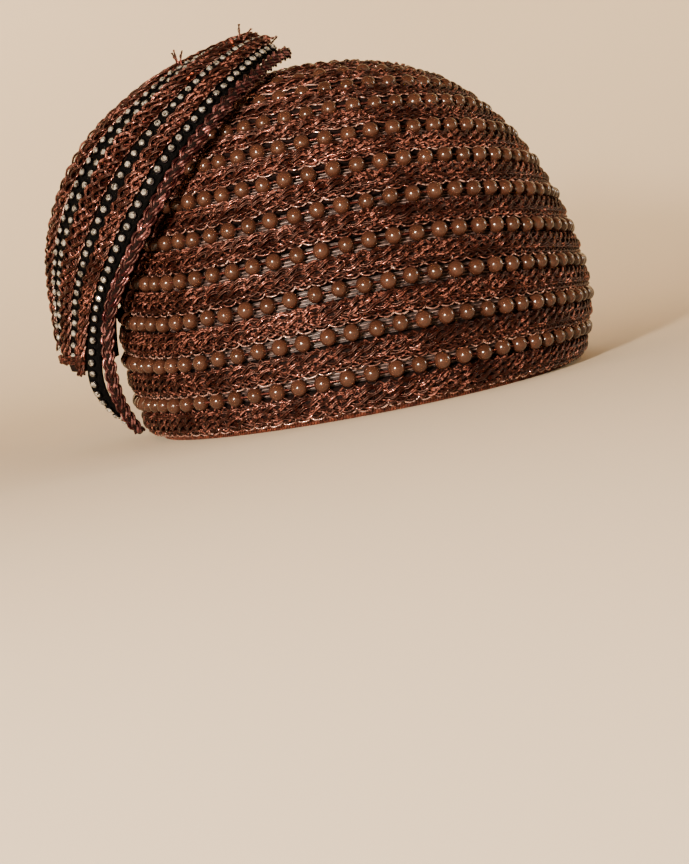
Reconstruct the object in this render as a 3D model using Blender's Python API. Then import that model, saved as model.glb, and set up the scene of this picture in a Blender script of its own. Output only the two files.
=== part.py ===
"""A brimless domed hat of stiff net, ringed by knitted metallic braid and strings of round beads.

A padded wing of braid and clear stones stands on the wearer's right side. The wearer faces -Y, +Z is up, and the
lower edge of the ribbon inside the rim rests on Z = 0.
"""

import math

import bmesh
import bpy
import numpy as np
from mathutils import Vector

MM = 0.001

# The crown: half sizes of its widest ring, heights from the net's lower edge
CROWN_HALF_WIDTH = 89.0 * MM
CROWN_HALF_DEPTH = 102.0 * MM
CROWN_HEIGHT = 123.0 * MM
WIDEST_HEIGHT = 28.3 * MM
RIM_HALF_WIDTH = 83.7 * MM
TOP_LEAN = 5.2 * MM
SHOULDER_POWER = 1.6
TOP_POWER = 2.64
NET_THICKNESS = 1.2 * MM

# The rings of braid and beads aren't quite level: a tilt, an oval twist and a three-fold ripple
WAVE_HEIGHT = 7.0 * MM
WAVE_START = 45.0 * MM
WAVES = (
    # turns round the crown, share of WAVE_HEIGHT along X, share along Y
    (1, -1.00, -0.20),
    (2, 0.50, -0.37),
    (3, -0.26, 0.33),
)

# The ribbon inside the rim: it reaches up to the first string of beads
RIBBON_DROP = 3.0 * MM
RIBBON_THICKNESS = 1.0 * MM

# Bead strings and the braid between them, placed by the way up the crown from the net's lower edge
BEAD_DIAMETER = 5.2 * MM
FIRST_BEAD_ROW = 12.1 * MM
LAST_BEAD_ROW_FROM_POLE = 18.66 * MM
BEAD_ROWS = 12
BRAID_THICKNESS = 4.0 * MM
BRAID_SHOULDER = 1.6 * MM
TIP_THICKNESS = 3.6 * MM

# Clearances between pieces that are sewn to each other
SEWN_GAP = 0.35 * MM
WING_SEAT = 0.8 * MM
WING_SEAM = 0.5 * MM

# The wing: it climbs the crown from near the rim to near the top
WING_FOOT = 4.0 * MM
WING_TOP_FROM_POLE = 26.76 * MM
WING_BODY_FOOT = 26.0 * MM
WING_WIDTH = 76.0 * MM
WING_REACH = 32.0 * MM
WING_PAD = 3.0 * MM
WING_CORD_DIAMETER = 5.2 * MM
WING_CORD_PLACE = 2.7 * MM
WING_CORD_LIFT = 2.0 * MM
WING_TAPE_PLACE = 7.0 * MM
WING_TAPE_WIDTH = 4.6 * MM
WING_TAPE_THICKNESS = 1.0 * MM
WING_BRAID_THICKNESS = 2.2 * MM
STONE_DIAMETER = 2.8 * MM
STONE_LIFT = 0.15 * MM
STONE_FIELD_THICKNESS = 2.0 * MM
WING_SECTIONS = (
    # share of the climb, degrees round from +X, front and crest stand-off as shares of WING_REACH,
    # width and crest's place as shares of WING_WIDTH
    (0.00, 203.0, 0.13, 0.22, 0.18, 0.11),
    (0.12, 210.0, 0.22, 0.72, 0.53, 0.27),
    (0.25, 216.0, 0.30, 0.88, 0.82, 0.54),
    (0.40, 228.0, 0.33, 1.00, 0.97, 0.63),
    (0.56, 237.5, 0.30, 0.97, 1.00, 0.66),
    (0.71, 246.0, 0.25, 0.78, 0.95, 0.61),
    (0.86, 250.5, 0.17, 0.61, 0.82, 0.43),
    (1.00, 250.0, 0.20, 0.60, 0.63, 0.35),
)
WING_STRIPES = (
    # name, first and last share of the wing's body width, first and last share of the climb
    ("wing_braid_1", 0.000, 0.072, 0.14, 1.00),
    ("wing_braid_2", 0.170, 0.280, 0.17, 0.99),
    ("wing_stone_row_3", 0.290, 0.425, 0.18, 0.98),
    ("wing_braid_3", 0.435, 0.545, 0.18, 0.97),
    ("wing_braid_4", 0.555, 0.660, 0.18, 0.96),
    ("wing_braid_5", 0.670, 0.770, 0.18, 0.95),
    ("wing_braid_6", 0.780, 0.885, 0.18, 0.94),
)
SECOND_STONE_ROW = 0.121
WING_CREASES = (0.0, 0.121, 0.285, 0.43, 0.55, 0.665, 0.775, 0.885, 1.0)

# How finely the curves are divided
RING_SIDES = 28
SMALL_RING_SHARE = 0.45
WING_STEPS = 13
TAIL_STEPS = 3
OUTLINE_STEPS = 600


def ring_share(height):
    """The size of the crown's ring at this height, as a share of the widest one."""
    rise = np.clip((height - WIDEST_HEIGHT) / (CROWN_HEIGHT - WIDEST_HEIGHT), 0.0, 1.0)
    dome = (1.0 - rise**SHOULDER_POWER) ** (1.0 / TOP_POWER)
    fall = np.clip((WIDEST_HEIGHT - height) / WIDEST_HEIGHT, 0.0, 1.0)
    tuck = 1.0 - (1.0 - RIM_HALF_WIDTH / CROWN_HALF_WIDTH) * fall**2
    return np.where(height >= WIDEST_HEIGHT, dome, tuck)


def crown_outline():
    """The way up the crown's front from its lower edge, with the height and the ring's share at each step."""
    heights = CROWN_HEIGHT * np.sin(np.linspace(0.0, math.pi / 2, OUTLINE_STEPS))
    shares = ring_share(heights)
    steps = np.hypot(np.diff(heights), CROWN_HALF_DEPTH * np.diff(shares))
    return np.concatenate([[0.0], np.cumsum(steps)]), heights, shares


WAYS, HEIGHTS, SHARES = crown_outline()
CROWN_WAY = float(WAYS[-1])
ROW_PITCH = (CROWN_WAY - LAST_BEAD_ROW_FROM_POLE - FIRST_BEAD_ROW) / (BEAD_ROWS - 1)
WING_TOP = CROWN_WAY - WING_TOP_FROM_POLE


def share_at(way):
    return float(np.interp(way, WAYS, SHARES))


def wave(height, share, turn):
    """How far a ring's point at this turn stands above the level of its ring."""
    strength = WAVE_HEIGHT * min(1.0, height / WAVE_START)
    return strength * sum(
        share**count * (along_x * math.cos(count * turn) + along_y * math.sin(count * turn))
        for count, along_x, along_y in WAVES
    )


def net_point(way, turn):
    """A point of the net's outer face, by the way up the crown and the turn round it from +X."""
    way = min(max(way, 0.0), CROWN_WAY)
    height = float(np.interp(way, WAYS, HEIGHTS))
    share = share_at(way)
    return Vector((
        CROWN_HALF_WIDTH * share * math.cos(turn) + TOP_LEAN * height / CROWN_HEIGHT,
        CROWN_HALF_DEPTH * share * math.sin(turn),
        RIBBON_DROP + height + wave(height, share, turn),
    ))


def crown_point(way, turn, out=0.0):
    """A point this far out from the net's outer face, square to it."""
    reach = 0.4 * MM
    way = min(way, CROWN_WAY - reach)
    up = net_point(way + reach, turn) - net_point(way - reach, turn)
    round_ = net_point(way, turn + 0.01) - net_point(way, turn - 0.01)
    return net_point(way, turn) + round_.cross(up).normalized() * float(out)


def material(name, colour, roughness, metallic=0.0):
    made = bpy.data.materials.new(name)
    made.use_nodes = True
    shader = made.node_tree.nodes["Principled BSDF"]
    shader.inputs["Base Color"].default_value = (*colour, 1.0)
    shader.inputs["Roughness"].default_value = roughness
    shader.inputs["Metallic"].default_value = metallic
    return made


def add_object(name, data, surface):
    made = bpy.data.objects.new(name, data)
    made.data.materials.append(surface)
    bpy.context.collection.objects.link(made)
    return made


def grid_body(name, rows, surface, loop_rows=True):
    """A closed body from rows of section points. The last row joins the first, or else both ends are capped."""
    mesh = bmesh.new()
    made = [[mesh.verts.new(point) for point in row] for row in rows]
    for first, second in zip(made, made[1:] + made[:1] if loop_rows else made[1:]):
        for here in range(len(first)):
            after = (here + 1) % len(first)
            mesh.faces.new((first[here], first[after], second[after], second[here]))
    if not loop_rows:
        mesh.faces.new(made[0])
        mesh.faces.new(made[-1])
    return finish_mesh(name, mesh, surface)


def finish_mesh(name, mesh, surface):
    bmesh.ops.recalc_face_normals(mesh, faces=mesh.faces)
    data = bpy.data.meshes.new(name)
    mesh.to_mesh(data)
    mesh.free()
    data.shade_smooth()
    data.set_sharp_from_angle(angle=math.radians(40))
    return add_object(name, data, surface)


def turns(sides):
    return [math.tau * step / sides for step in range(sides)]


def sides_at(way):
    """Small rings near the top take half as many sides."""
    return RING_SIDES if share_at(way) > SMALL_RING_SHARE else RING_SIDES // 2


def tube(name, points, diameter, surface, closed):
    """A string drawn as a round tube, as a cord's is."""
    curve = bpy.data.curves.new(name, "CURVE")
    curve.dimensions = "3D"
    curve.bevel_depth = diameter / 2
    curve.bevel_resolution = 2
    curve.use_fill_caps = not closed
    curve.twist_mode = "Z_UP" if closed else "MINIMUM"
    spline = curve.splines.new("POLY")
    spline.points.add(len(points) - 1)
    for slot, point in zip(spline.points, points):
        slot.co = (*point, 1.0)
        slot.radius = 1.0
    spline.use_cyclic_u = closed
    spline.use_smooth = True
    return add_object(name, curve, surface)


def bead_way(row):
    return FIRST_BEAD_ROW + ROW_PITCH * row


def make_net(surface):
    """The dome of stiff net: two faces that meet at a flat lower edge."""
    ways = [0.0] + [bead_way(row) for row in range(BEAD_ROWS)] + [CROWN_WAY - (CROWN_WAY - last_braid_top()) / 2]
    mesh = bmesh.new()
    faces = []
    for out in (0.0, -NET_THICKNESS):
        rings = [[mesh.verts.new(crown_point(way, turn, out)) for turn in turns(RING_SIDES)] for way in ways]
        for vert in rings[0]:
            vert.co.z = RIBBON_DROP
        pole = mesh.verts.new(net_point(CROWN_WAY, 0.0) + Vector((0.0, 0.0, out)))
        faces.append((rings, pole))
    for rings, pole in faces:
        for lower, upper in zip(rings, rings[1:]):
            bridge(mesh, lower, upper)
        for here, vert in enumerate(rings[-1]):
            mesh.faces.new((vert, rings[-1][(here + 1) % RING_SIDES], pole))
    bridge(mesh, faces[0][0][0], faces[1][0][0])
    return finish_mesh("crown_net", mesh, surface)


def bridge(mesh, lower, upper):
    for here in range(len(lower)):
        after = (here + 1) % len(lower)
        mesh.faces.new((lower[here], lower[after], upper[after], upper[here]))


def make_ribbon(surface):
    """The ribbed ribbon inside the net. It reaches straight down below the net, and the hat rests on its lower edge."""
    outer = -(NET_THICKNESS + SEWN_GAP)
    inner = outer - RIBBON_THICKNESS
    rows = []
    for turn in turns(RING_SIDES):
        row = []
        for way, level, out in (
            (0.0, 0.0, outer),
            (0.0, 0.0, inner),
            (0.0, RIBBON_DROP, inner),
            (FIRST_BEAD_ROW, None, inner),
            (FIRST_BEAD_ROW, None, outer),
            (0.0, RIBBON_DROP, outer),
        ):
            point = crown_point(way, turn, out)
            if level is not None:
                point.z = level
            row.append(point)
        rows.append(row)
    return grid_body("sweatband_ribbon", rows, surface)


def braid_edges(row):
    """The ways of a braid's lower and upper edge. The first one starts at the net's lower edge."""
    clear = BEAD_DIAMETER / 2 + SEWN_GAP
    lower = bead_way(row - 1) + clear if row else 0.0
    return lower, bead_way(row) - clear


def last_braid_top():
    return braid_edges(BEAD_ROWS)[1]


def make_braid(row, surface):
    """One ring of knitted braid: flat against the net, with rounded shoulders."""
    lower, upper = braid_edges(row)
    base = SEWN_GAP
    crest = base + BRAID_THICKNESS
    section = (
        (lower, base),
        (lower + BRAID_SHOULDER, crest),
        (upper - BRAID_SHOULDER, crest),
        (upper, base),
    )
    rows = [[crown_point(way, turn, out) for way, out in section] for turn in turns(sides_at(lower))]
    return grid_body("braid_row_%02d" % (row + 1), rows, surface)


def make_bead_row(row, surface):
    """A ring of beads on their thread, drawn as the tube that they fill."""
    way = bead_way(row)
    out = SEWN_GAP + BEAD_DIAMETER / 2
    points = [crown_point(way, turn, out) for turn in turns(sides_at(way))]
    return tube("bead_row_%02d" % (row + 1), points, BEAD_DIAMETER, surface, True)


def make_tip(surface):
    """The coil of braid that closes the top: a low button."""
    edge = last_braid_top() + SEWN_GAP
    sides = sides_at(edge)
    mesh = bmesh.new()
    pole = net_point(CROWN_WAY, 0.0)
    rings = []
    for share, out in ((0.0, SEWN_GAP), (0.25, SEWN_GAP + 0.8 * TIP_THICKNESS)):
        way = edge + share * (CROWN_WAY - edge)
        rings.append([mesh.verts.new(crown_point(way, turn, out)) for turn in turns(sides)])
    bridge(mesh, rings[0], rings[1])
    for ring, out in ((rings[0], SEWN_GAP), (rings[1], SEWN_GAP + TIP_THICKNESS)):
        middle = mesh.verts.new(pole + Vector((0.0, 0.0, out)))
        for here in range(sides):
            mesh.faces.new((ring[here], ring[(here + 1) % sides], middle))
    return finish_mesh("crown_tip_coil", mesh, surface)


def wing_value(column, climb):
    """A column of the wing's table at this share of the climb, on a smooth curve through its rows."""
    places = [row[0] for row in WING_SECTIONS]
    values = [row[column] for row in WING_SECTIONS]
    slopes = np.gradient(values, places)
    first = int(np.clip(np.searchsorted(places, climb) - 1, 0, len(places) - 2))
    span = places[first + 1] - places[first]
    part = (climb - places[first]) / span
    return (
        (2 * part**3 - 3 * part**2 + 1) * values[first]
        + (part**3 - 2 * part**2 + part) * span * slopes[first]
        + (3 * part**2 - 2 * part**3) * values[first + 1]
        + (part**3 - part**2) * span * slopes[first + 1]
    )


def climb_at(way):
    return (way - WING_FOOT) / (WING_TOP - WING_FOOT)


def wing_width(climb):
    return WING_WIDTH * wing_value(4, climb)


def wing_floor():
    """How far out the wing's underside lies where it's sewn down: just over the beads and the braid."""
    return SEWN_GAP + max(BRAID_THICKNESS, BEAD_DIAMETER) + WING_SEAT


def wing_stand(climb, across):
    """How far the wing's outer face stands out from the net, this far back from its front edge."""
    least = wing_floor() + WING_PAD
    front = WING_REACH * wing_value(2, climb)
    crest = WING_REACH * wing_value(3, climb)
    place = WING_WIDTH * wing_value(5, climb)
    if across <= place:
        rise = math.sin(math.pi / 2 * max(0.0, across / place))
        return front + (crest - front) * rise
    fall = min(1.0, (across - place) / max(wing_width(climb) - place, MM))
    return least + (crest - least) * math.cos(math.pi / 2 * fall)


def wing_point(climb, across, out=0.0):
    """A point of the wing's outer face, or this far above it, by the climb and the way back from the front."""
    way = WING_FOOT + climb * (WING_TOP - WING_FOOT)
    mean_half = (CROWN_HALF_WIDTH + CROWN_HALF_DEPTH) / 2
    swing = mean_half * share_at(way) + WING_REACH * (wing_value(2, climb) + wing_value(3, climb)) / 2
    turn = math.radians(wing_value(1, climb)) - across / swing
    return crown_point(way, turn, wing_stand(climb, across) + out)


def body_across(climb, share):
    """The way back from the front edge to a share of the width of the wing's body, which starts at the tape."""
    front = tape_back() + WING_SEAM
    return front + share * (wing_width(climb) - front)


def tape_back():
    return WING_TAPE_PLACE + WING_TAPE_WIDTH


def climbs(first, last, steps=WING_STEPS):
    return [first + (last - first) * step / steps for step in range(steps + 1)]


def panel_climbs(first=0.0, last=1.0):
    """The climbs at which the panel bends, from this climb to that one."""
    bends = climbs(climb_at(WING_BODY_FOOT), 1.0)
    return [max(first, bends[0])] + [climb for climb in bends[1:-1] if first < climb < last] + [last]


def cord_climbs():
    """The same, with the stretch below the panel, where only the cord and the tape run down to the rim."""
    start = climb_at(WING_BODY_FOOT)
    return [start * step / TAIL_STEPS for step in range(TAIL_STEPS)] + panel_climbs()


def make_wing_panel(surface):
    """The padded sheet under the braid: its front edge stands off the crown, and its back edge is sewn down."""
    rows = []
    for climb in panel_climbs():
        outer = []
        inner = []
        for share in WING_CREASES:
            across = body_across(climb, share)
            stand = wing_stand(climb, across)
            outer.append(wing_point(climb, across))
            inner.append(wing_point(climb, across, max(-WING_PAD, wing_floor() - stand)))
        rows.append(outer + inner[::-1])
    return grid_body("wing_panel", rows, surface, loop_rows=False)


def make_wing_strip(name, first, last, low, high, thickness, surface):
    """A flat length of braid, or a field of stones, bent where the panel under it bends."""
    rows = []
    for climb in panel_climbs(low, high):
        edges = [body_across(climb, share) for share in (first, last)]
        lift = (SEWN_GAP, SEWN_GAP + thickness)
        rows.append([
            wing_point(climb, edges[0], lift[0]),
            wing_point(climb, edges[1], lift[0]),
            wing_point(climb, edges[1], lift[1]),
            wing_point(climb, edges[0], lift[1]),
        ])
    return grid_body(name, rows, surface, loop_rows=False)


def make_wing_tape(surface):
    """The black tape behind the cord, which carries the first string of stones down to the rim."""
    rows = []
    for climb in cord_climbs():
        rows.append([
            wing_point(climb, across, out)
            for across, out in (
                (WING_TAPE_PLACE, -WING_TAPE_THICKNESS),
                (tape_back(), -WING_TAPE_THICKNESS),
                (tape_back(), 0.0),
                (WING_TAPE_PLACE, 0.0),
            )
        ])
    return grid_body("wing_stone_tape", rows, surface, loop_rows=False)


def make_wing_strings(cord, stones):
    """The plaited cord along the front edge, and the two single strings of stones."""
    cord_points = [wing_point(climb, WING_CORD_PLACE, WING_CORD_LIFT) for climb in cord_climbs()]
    tube("wing_edge_cord", cord_points, WING_CORD_DIAMETER, cord, False)
    lift = SEWN_GAP + STONE_LIFT + STONE_DIAMETER / 2
    middle = (WING_TAPE_PLACE + tape_back()) / 2
    first = [wing_point(climb, middle, lift) for climb in cord_climbs()]
    tube("wing_stone_row_1", first, STONE_DIAMETER, stones, False)
    second = [
        wing_point(climb, body_across(climb, SECOND_STONE_ROW), lift)
        for climb in panel_climbs(WING_STRIPES[1][3], WING_STRIPES[1][4])
    ]
    tube("wing_stone_row_2", second, STONE_DIAMETER, stones, False)


def centre_on_origin():
    """Hangs every piece from one empty, and sets the middle of the whole hat's footprint on the origin."""
    bpy.context.view_layer.update()
    graph = bpy.context.evaluated_depsgraph_get()
    corners = np.array([
        evaluated.matrix_world @ vert.co
        for made in bpy.context.collection.objects
        for evaluated in [made.evaluated_get(graph)]
        for vert in evaluated.to_mesh().vertices
    ])
    low = corners.min(axis=0)
    high = corners.max(axis=0)
    pieces = list(bpy.context.collection.objects)
    stand = bpy.data.objects.new("hat_origin", None)
    bpy.context.collection.objects.link(stand)
    stand.location = (-(low[0] + high[0]) / 2, -(low[1] + high[1]) / 2, -low[2])
    for piece in pieces:
        piece.parent = stand


def main():
    for old in list(bpy.data.objects):
        bpy.data.objects.remove(old, do_unlink=True)

    net = material("stiff_net", (0.16, 0.11, 0.12), 0.8)
    ribbon = material("grosgrain_ribbon", (0.22, 0.05, 0.025), 0.7)
    braid = material("metallic_braid", (0.11, 0.03, 0.022), 0.45, 0.4)
    bead = material("chocolate_bead", (0.13, 0.045, 0.025), 0.2)
    cord = material("plaited_cord", (0.12, 0.028, 0.025), 0.45, 0.3)
    tape = material("black_tape", (0.012, 0.011, 0.013), 0.85)
    stone = material("clear_stone", (0.75, 0.76, 0.78), 0.1)

    make_net(net)
    make_ribbon(ribbon)
    for row in range(BEAD_ROWS + 1):
        make_braid(row, braid)
    for row in range(BEAD_ROWS):
        make_bead_row(row, bead)
    make_tip(braid)

    make_wing_panel(net)
    make_wing_tape(tape)
    make_wing_strings(cord, stone)
    for name, first, last, low, high in WING_STRIPES:
        stones = name.startswith("wing_stone")
        thickness = STONE_FIELD_THICKNESS if stones else WING_BRAID_THICKNESS
        make_wing_strip(name, first, last, low, high, thickness, stone if stones else braid)
    centre_on_origin()


main()
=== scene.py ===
# %% [markdown]
# # A brimless hat of braid and beads
#
# This lesson dresses a plain model of a domed evening hat. The plain model is a frame of simple bands and
# tubes. Each cell below makes one thing that the real hat is made of, such as its strings of beads or its
# plaited braid, in the place that the frame gives it.

# %% Load the frame and keep its box
import math

import bmesh
import bpy
import numpy as np
from mathutils import Matrix


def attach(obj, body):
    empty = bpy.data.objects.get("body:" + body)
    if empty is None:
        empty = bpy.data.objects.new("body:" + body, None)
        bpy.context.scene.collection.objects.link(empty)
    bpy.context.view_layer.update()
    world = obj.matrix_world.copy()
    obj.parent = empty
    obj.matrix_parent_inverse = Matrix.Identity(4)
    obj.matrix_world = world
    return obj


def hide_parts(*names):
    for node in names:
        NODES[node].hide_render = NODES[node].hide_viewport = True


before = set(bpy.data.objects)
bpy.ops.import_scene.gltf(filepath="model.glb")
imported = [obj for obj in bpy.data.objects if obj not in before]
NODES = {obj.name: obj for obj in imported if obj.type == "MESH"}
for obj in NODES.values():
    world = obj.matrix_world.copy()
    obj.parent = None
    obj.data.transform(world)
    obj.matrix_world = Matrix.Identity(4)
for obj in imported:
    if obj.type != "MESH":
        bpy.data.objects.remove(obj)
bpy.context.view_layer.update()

MM = 0.001
TURN = 2 * math.pi

# %% [markdown]
# ## The camera
#
# The hat is seen from in front, a little above its rim and tipped to one side. It could be turned to lean,
# but then it would stand on one point. So it stays flat on its rim, and the camera leans instead. Three
# angles give the camera's directions step by step, which is easier to check than a rotation in numbers.

# %% Place the camera
ribbon_foot = [vert.co for vert in NODES["sweatband_ribbon"].data.vertices if vert.co.z < 0.1 * MM]
AXIS_X = (min(co.x for co in ribbon_foot) + max(co.x for co in ribbon_foot)) / 2
AXIS_Y = (min(co.y for co in ribbon_foot) + max(co.y for co in ribbon_foot)) / 2

PICTURE = (689, 864)
FOCAL_PIXELS = 1350.0
CAMERA_FROM_AXIS = np.array([54.5, -544.4, 38.6]) * MM
CAMERA_YAW = -0.122
CAMERA_PITCH = -0.094
CAMERA_ROLL = -0.187


def add_object(name, data):
    """A new object in the scene."""
    made = bpy.data.objects.new(name, data)
    bpy.context.scene.collection.objects.link(made)
    return made


def stand(made, right, up, back, place):
    """Puts a camera or lamp at a place, with its X, Y and Z along three directions."""
    turned = np.eye(4)
    turned[:3] = np.stack([right, up, back, place], axis=1)
    made.matrix_world = Matrix(turned.tolist())


def camera_directions(yaw, pitch, roll):
    """Where the camera's right, up and forward sides point."""
    forward = np.array([math.sin(yaw) * math.cos(pitch), math.cos(yaw) * math.cos(pitch), math.sin(pitch)])
    level = np.array([math.cos(yaw), -math.sin(yaw), 0.0])
    upright = np.cross(level, forward)
    right = math.cos(roll) * level + math.sin(roll) * upright
    up = -math.sin(roll) * level + math.cos(roll) * upright
    return right, up, forward


def add_camera():
    """The camera that sees the hat as the photograph does."""
    data = bpy.data.cameras.new("photo_camera")
    data.sensor_fit = "VERTICAL"
    data.sensor_height = 24.0
    data.lens = FOCAL_PIXELS / PICTURE[1] * data.sensor_height
    data.clip_start = 0.01
    camera = add_object("photo_camera", data)
    right, up, forward = camera_directions(CAMERA_YAW, CAMERA_PITCH, CAMERA_ROLL)
    stand(camera, right, up, -forward, CAMERA_FROM_AXIS + np.array([AXIS_X, AXIS_Y, 0.0]))
    bpy.context.scene.camera = camera
    return camera


camera = add_camera()
print("The camera stands at", [round(value, 3) for value in camera.matrix_world.translation])

# %% [markdown]
# ## Adding nodes
#
# Materials and Geometry Nodes are both made of nodes, so one small function serves both. It adds a node, sets
# its options, and fills its inputs with values or with other nodes' outputs.

# %% One function that adds a node


def add_node(tree, kind, inputs=None, **options):
    """Adds one node. An input takes a value, an output, or another node, which means its first output."""
    made = tree.nodes.new(kind)
    for option, value in options.items():
        setattr(made, option, value)
    for slot, value in (inputs or {}).items():
        if isinstance(value, bpy.types.Node):
            value = value.outputs[0]
        if isinstance(value, bpy.types.NodeSocket):
            tree.links.new(value, made.inputs[slot])
        else:
            made.inputs[slot].default_value = value
    return made


def linear(hex_colour):
    """Turns a colour as a screen shows it, such as 6B3A2E, into the linear one that the shader wants."""
    shares = [int(hex_colour[place:place + 2], 16) / 255 for place in (0, 2, 4)]
    return tuple(
        share / 12.92 if share <= 0.04045 else ((share + 0.055) / 1.055) ** 2.4 for share in shares
    ) + (1.0,)


print("Linear mid grey is", round(linear("808080")[0], 3))

# %% [markdown]
# ## The crown's surface
#
# Everything on the crown is sewn to one curved surface, and a place on it is given by the way up from the rim
# and the turn round the crown. The same few lengths that shaped the frame give it here. Each place also has
# three directions: out of the net, up the crown, and along the ring. Pieces are laid out in those, so a plait
# that is flat on paper bends round the hat by itself.

# %% The crown's surface in numbers
CROWN_HALF_WIDTH = 89.0 * MM
CROWN_HALF_DEPTH = 102.0 * MM
CROWN_HEIGHT = 123.0 * MM
WIDEST_HEIGHT = 28.3 * MM
RIM_HALF_WIDTH = 83.7 * MM
TOP_LEAN = 5.2 * MM
SHOULDER_POWER = 1.6
TOP_POWER = 2.64
RIBBON_DROP = 3.0 * MM
WAVE_HEIGHT = 7.0 * MM
WAVE_START = 45.0 * MM
WAVES = ((1, -1.00, -0.20), (2, 0.50, -0.37), (3, -0.26, 0.33))
# How far to look to each side for a direction, up the crown and round it
SMALL_WAY = 0.4 * MM
SMALL_TURN = 0.01


def ring_share(height):
    """The size of the crown's ring at this height, as a share of the widest one."""
    rise = np.clip((height - WIDEST_HEIGHT) / (CROWN_HEIGHT - WIDEST_HEIGHT), 0.0, 1.0)
    dome = (1.0 - rise**SHOULDER_POWER) ** (1.0 / TOP_POWER)
    fall = np.clip((WIDEST_HEIGHT - height) / WIDEST_HEIGHT, 0.0, 1.0)
    tuck = 1.0 - (1.0 - RIM_HALF_WIDTH / CROWN_HALF_WIDTH) * fall**2
    return np.where(height >= WIDEST_HEIGHT, dome, tuck)


HEIGHTS = CROWN_HEIGHT * np.sin(np.linspace(0.0, math.pi / 2, 600))
SHARES = ring_share(HEIGHTS)
WAYS = np.concatenate([[0.0], np.cumsum(np.hypot(np.diff(HEIGHTS), CROWN_HALF_DEPTH * np.diff(SHARES)))])
CROWN_WAY = float(WAYS[-1])


def net_point(way, turn):
    """Points of the net's outer face, as rows of X, Y and Z."""
    way, turn = np.broadcast_arrays(np.clip(way, 0.0, CROWN_WAY), np.asarray(turn, float))
    height = np.interp(way, WAYS, HEIGHTS)
    share = np.interp(way, WAYS, SHARES)
    ripple = sum(share**n * (x * np.cos(n * turn) + y * np.sin(n * turn)) for n, x, y in WAVES)
    return np.stack([
        AXIS_X + CROWN_HALF_WIDTH * share * np.cos(turn) + TOP_LEAN * height / CROWN_HEIGHT,
        AXIS_Y + CROWN_HALF_DEPTH * share * np.sin(turn),
        RIBBON_DROP + height + WAVE_HEIGHT * np.minimum(1.0, height / WAVE_START) * ripple,
    ], axis=-1)


def unit(rows):
    """The same directions, each one long."""
    return rows / np.linalg.norm(rows, axis=-1, keepdims=True)


def crown_frame(way, turn):
    """Points of the net with the directions out of it, up the crown and along the ring."""
    way = np.clip(way, SMALL_WAY, CROWN_WAY - 2 * SMALL_WAY)
    turn = np.asarray(turn)
    up = unit(net_point(way + SMALL_WAY, turn) - net_point(way - SMALL_WAY, turn))
    along = unit(net_point(way, turn + SMALL_TURN) - net_point(way, turn - SMALL_TURN))
    out = unit(np.cross(along, up))
    return net_point(way, turn), out, unit(np.cross(out, along)), along


def off_net(way, turn, rise):
    """Points of the crown that stand this far out from the net."""
    point, out, up, along = crown_frame(way, turn)
    return point + rise * out


print("The way up the crown is", round(CROWN_WAY / MM, 1), "mm")

# %% [markdown]
# ## The wing's surface
#
# The wing is a padded panel that climbs the side of the crown and stands off it. It has its own surface: a
# place on it is given by the climb, from the rim to the top, and by the way back from its front edge.

# %% The wing's surface in numbers
WING_FOOT = 4.0 * MM
WING_TOP_FROM_POLE = 26.76 * MM
WING_TOP = CROWN_WAY - WING_TOP_FROM_POLE
WING_WIDTH = 76.0 * MM
WING_REACH = 32.0 * MM
WING_PAD = 3.0 * MM
WING_FLOOR = 6.35 * MM
WING_BODY_START = 12.1 * MM
SMALL_CLIMB = 0.004
INSIDE_HAT = np.array([AXIS_X, 0.0, 40 * MM])
WING_SECTIONS = np.array([
    # share of the climb, degrees round from +X, front and crest stand-off as shares of WING_REACH,
    # width and crest's place as shares of WING_WIDTH
    (0.00, 203.0, 0.13, 0.22, 0.18, 0.11),
    (0.12, 210.0, 0.22, 0.72, 0.53, 0.27),
    (0.25, 216.0, 0.30, 0.88, 0.82, 0.54),
    (0.40, 228.0, 0.33, 1.00, 0.97, 0.63),
    (0.56, 237.5, 0.30, 0.97, 1.00, 0.66),
    (0.71, 246.0, 0.25, 0.78, 0.95, 0.61),
    (0.86, 250.5, 0.17, 0.61, 0.82, 0.43),
    (1.00, 250.0, 0.20, 0.60, 0.63, 0.35),
])


def wing_value(column, climb):
    """A column of the wing's table at these climbs, on a smooth curve through its rows."""
    places = WING_SECTIONS[:, 0]
    values = WING_SECTIONS[:, column]
    slopes = np.gradient(values, places)
    first = np.clip(np.searchsorted(places, climb) - 1, 0, len(places) - 2)
    span = places[first + 1] - places[first]
    part = (climb - places[first]) / span
    return (
        (2 * part**3 - 3 * part**2 + 1) * values[first]
        + (part**3 - 2 * part**2 + part) * span * slopes[first]
        + (3 * part**2 - 2 * part**3) * values[first + 1]
        + (part**3 - part**2) * span * slopes[first + 1]
    )


def wing_width(climb):
    """The wing's width at this climb, from its front edge to its back edge."""
    return WING_WIDTH * wing_value(4, climb)


def wing_stand(climb, across):
    """How far the wing's outer face stands out from the net."""
    least = WING_FLOOR + WING_PAD
    front = WING_REACH * wing_value(2, climb)
    crest = WING_REACH * wing_value(3, climb)
    place = WING_WIDTH * wing_value(5, climb)
    rise = np.sin(math.pi / 2 * np.clip(across / place, 0.0, 1.0))
    fall = np.clip((across - place) / np.maximum(wing_width(climb) - place, MM), 0.0, 1.0)
    before = front + (crest - front) * rise
    after = least + (crest - least) * np.cos(math.pi / 2 * fall)
    return np.where(across <= place, before, after)


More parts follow.
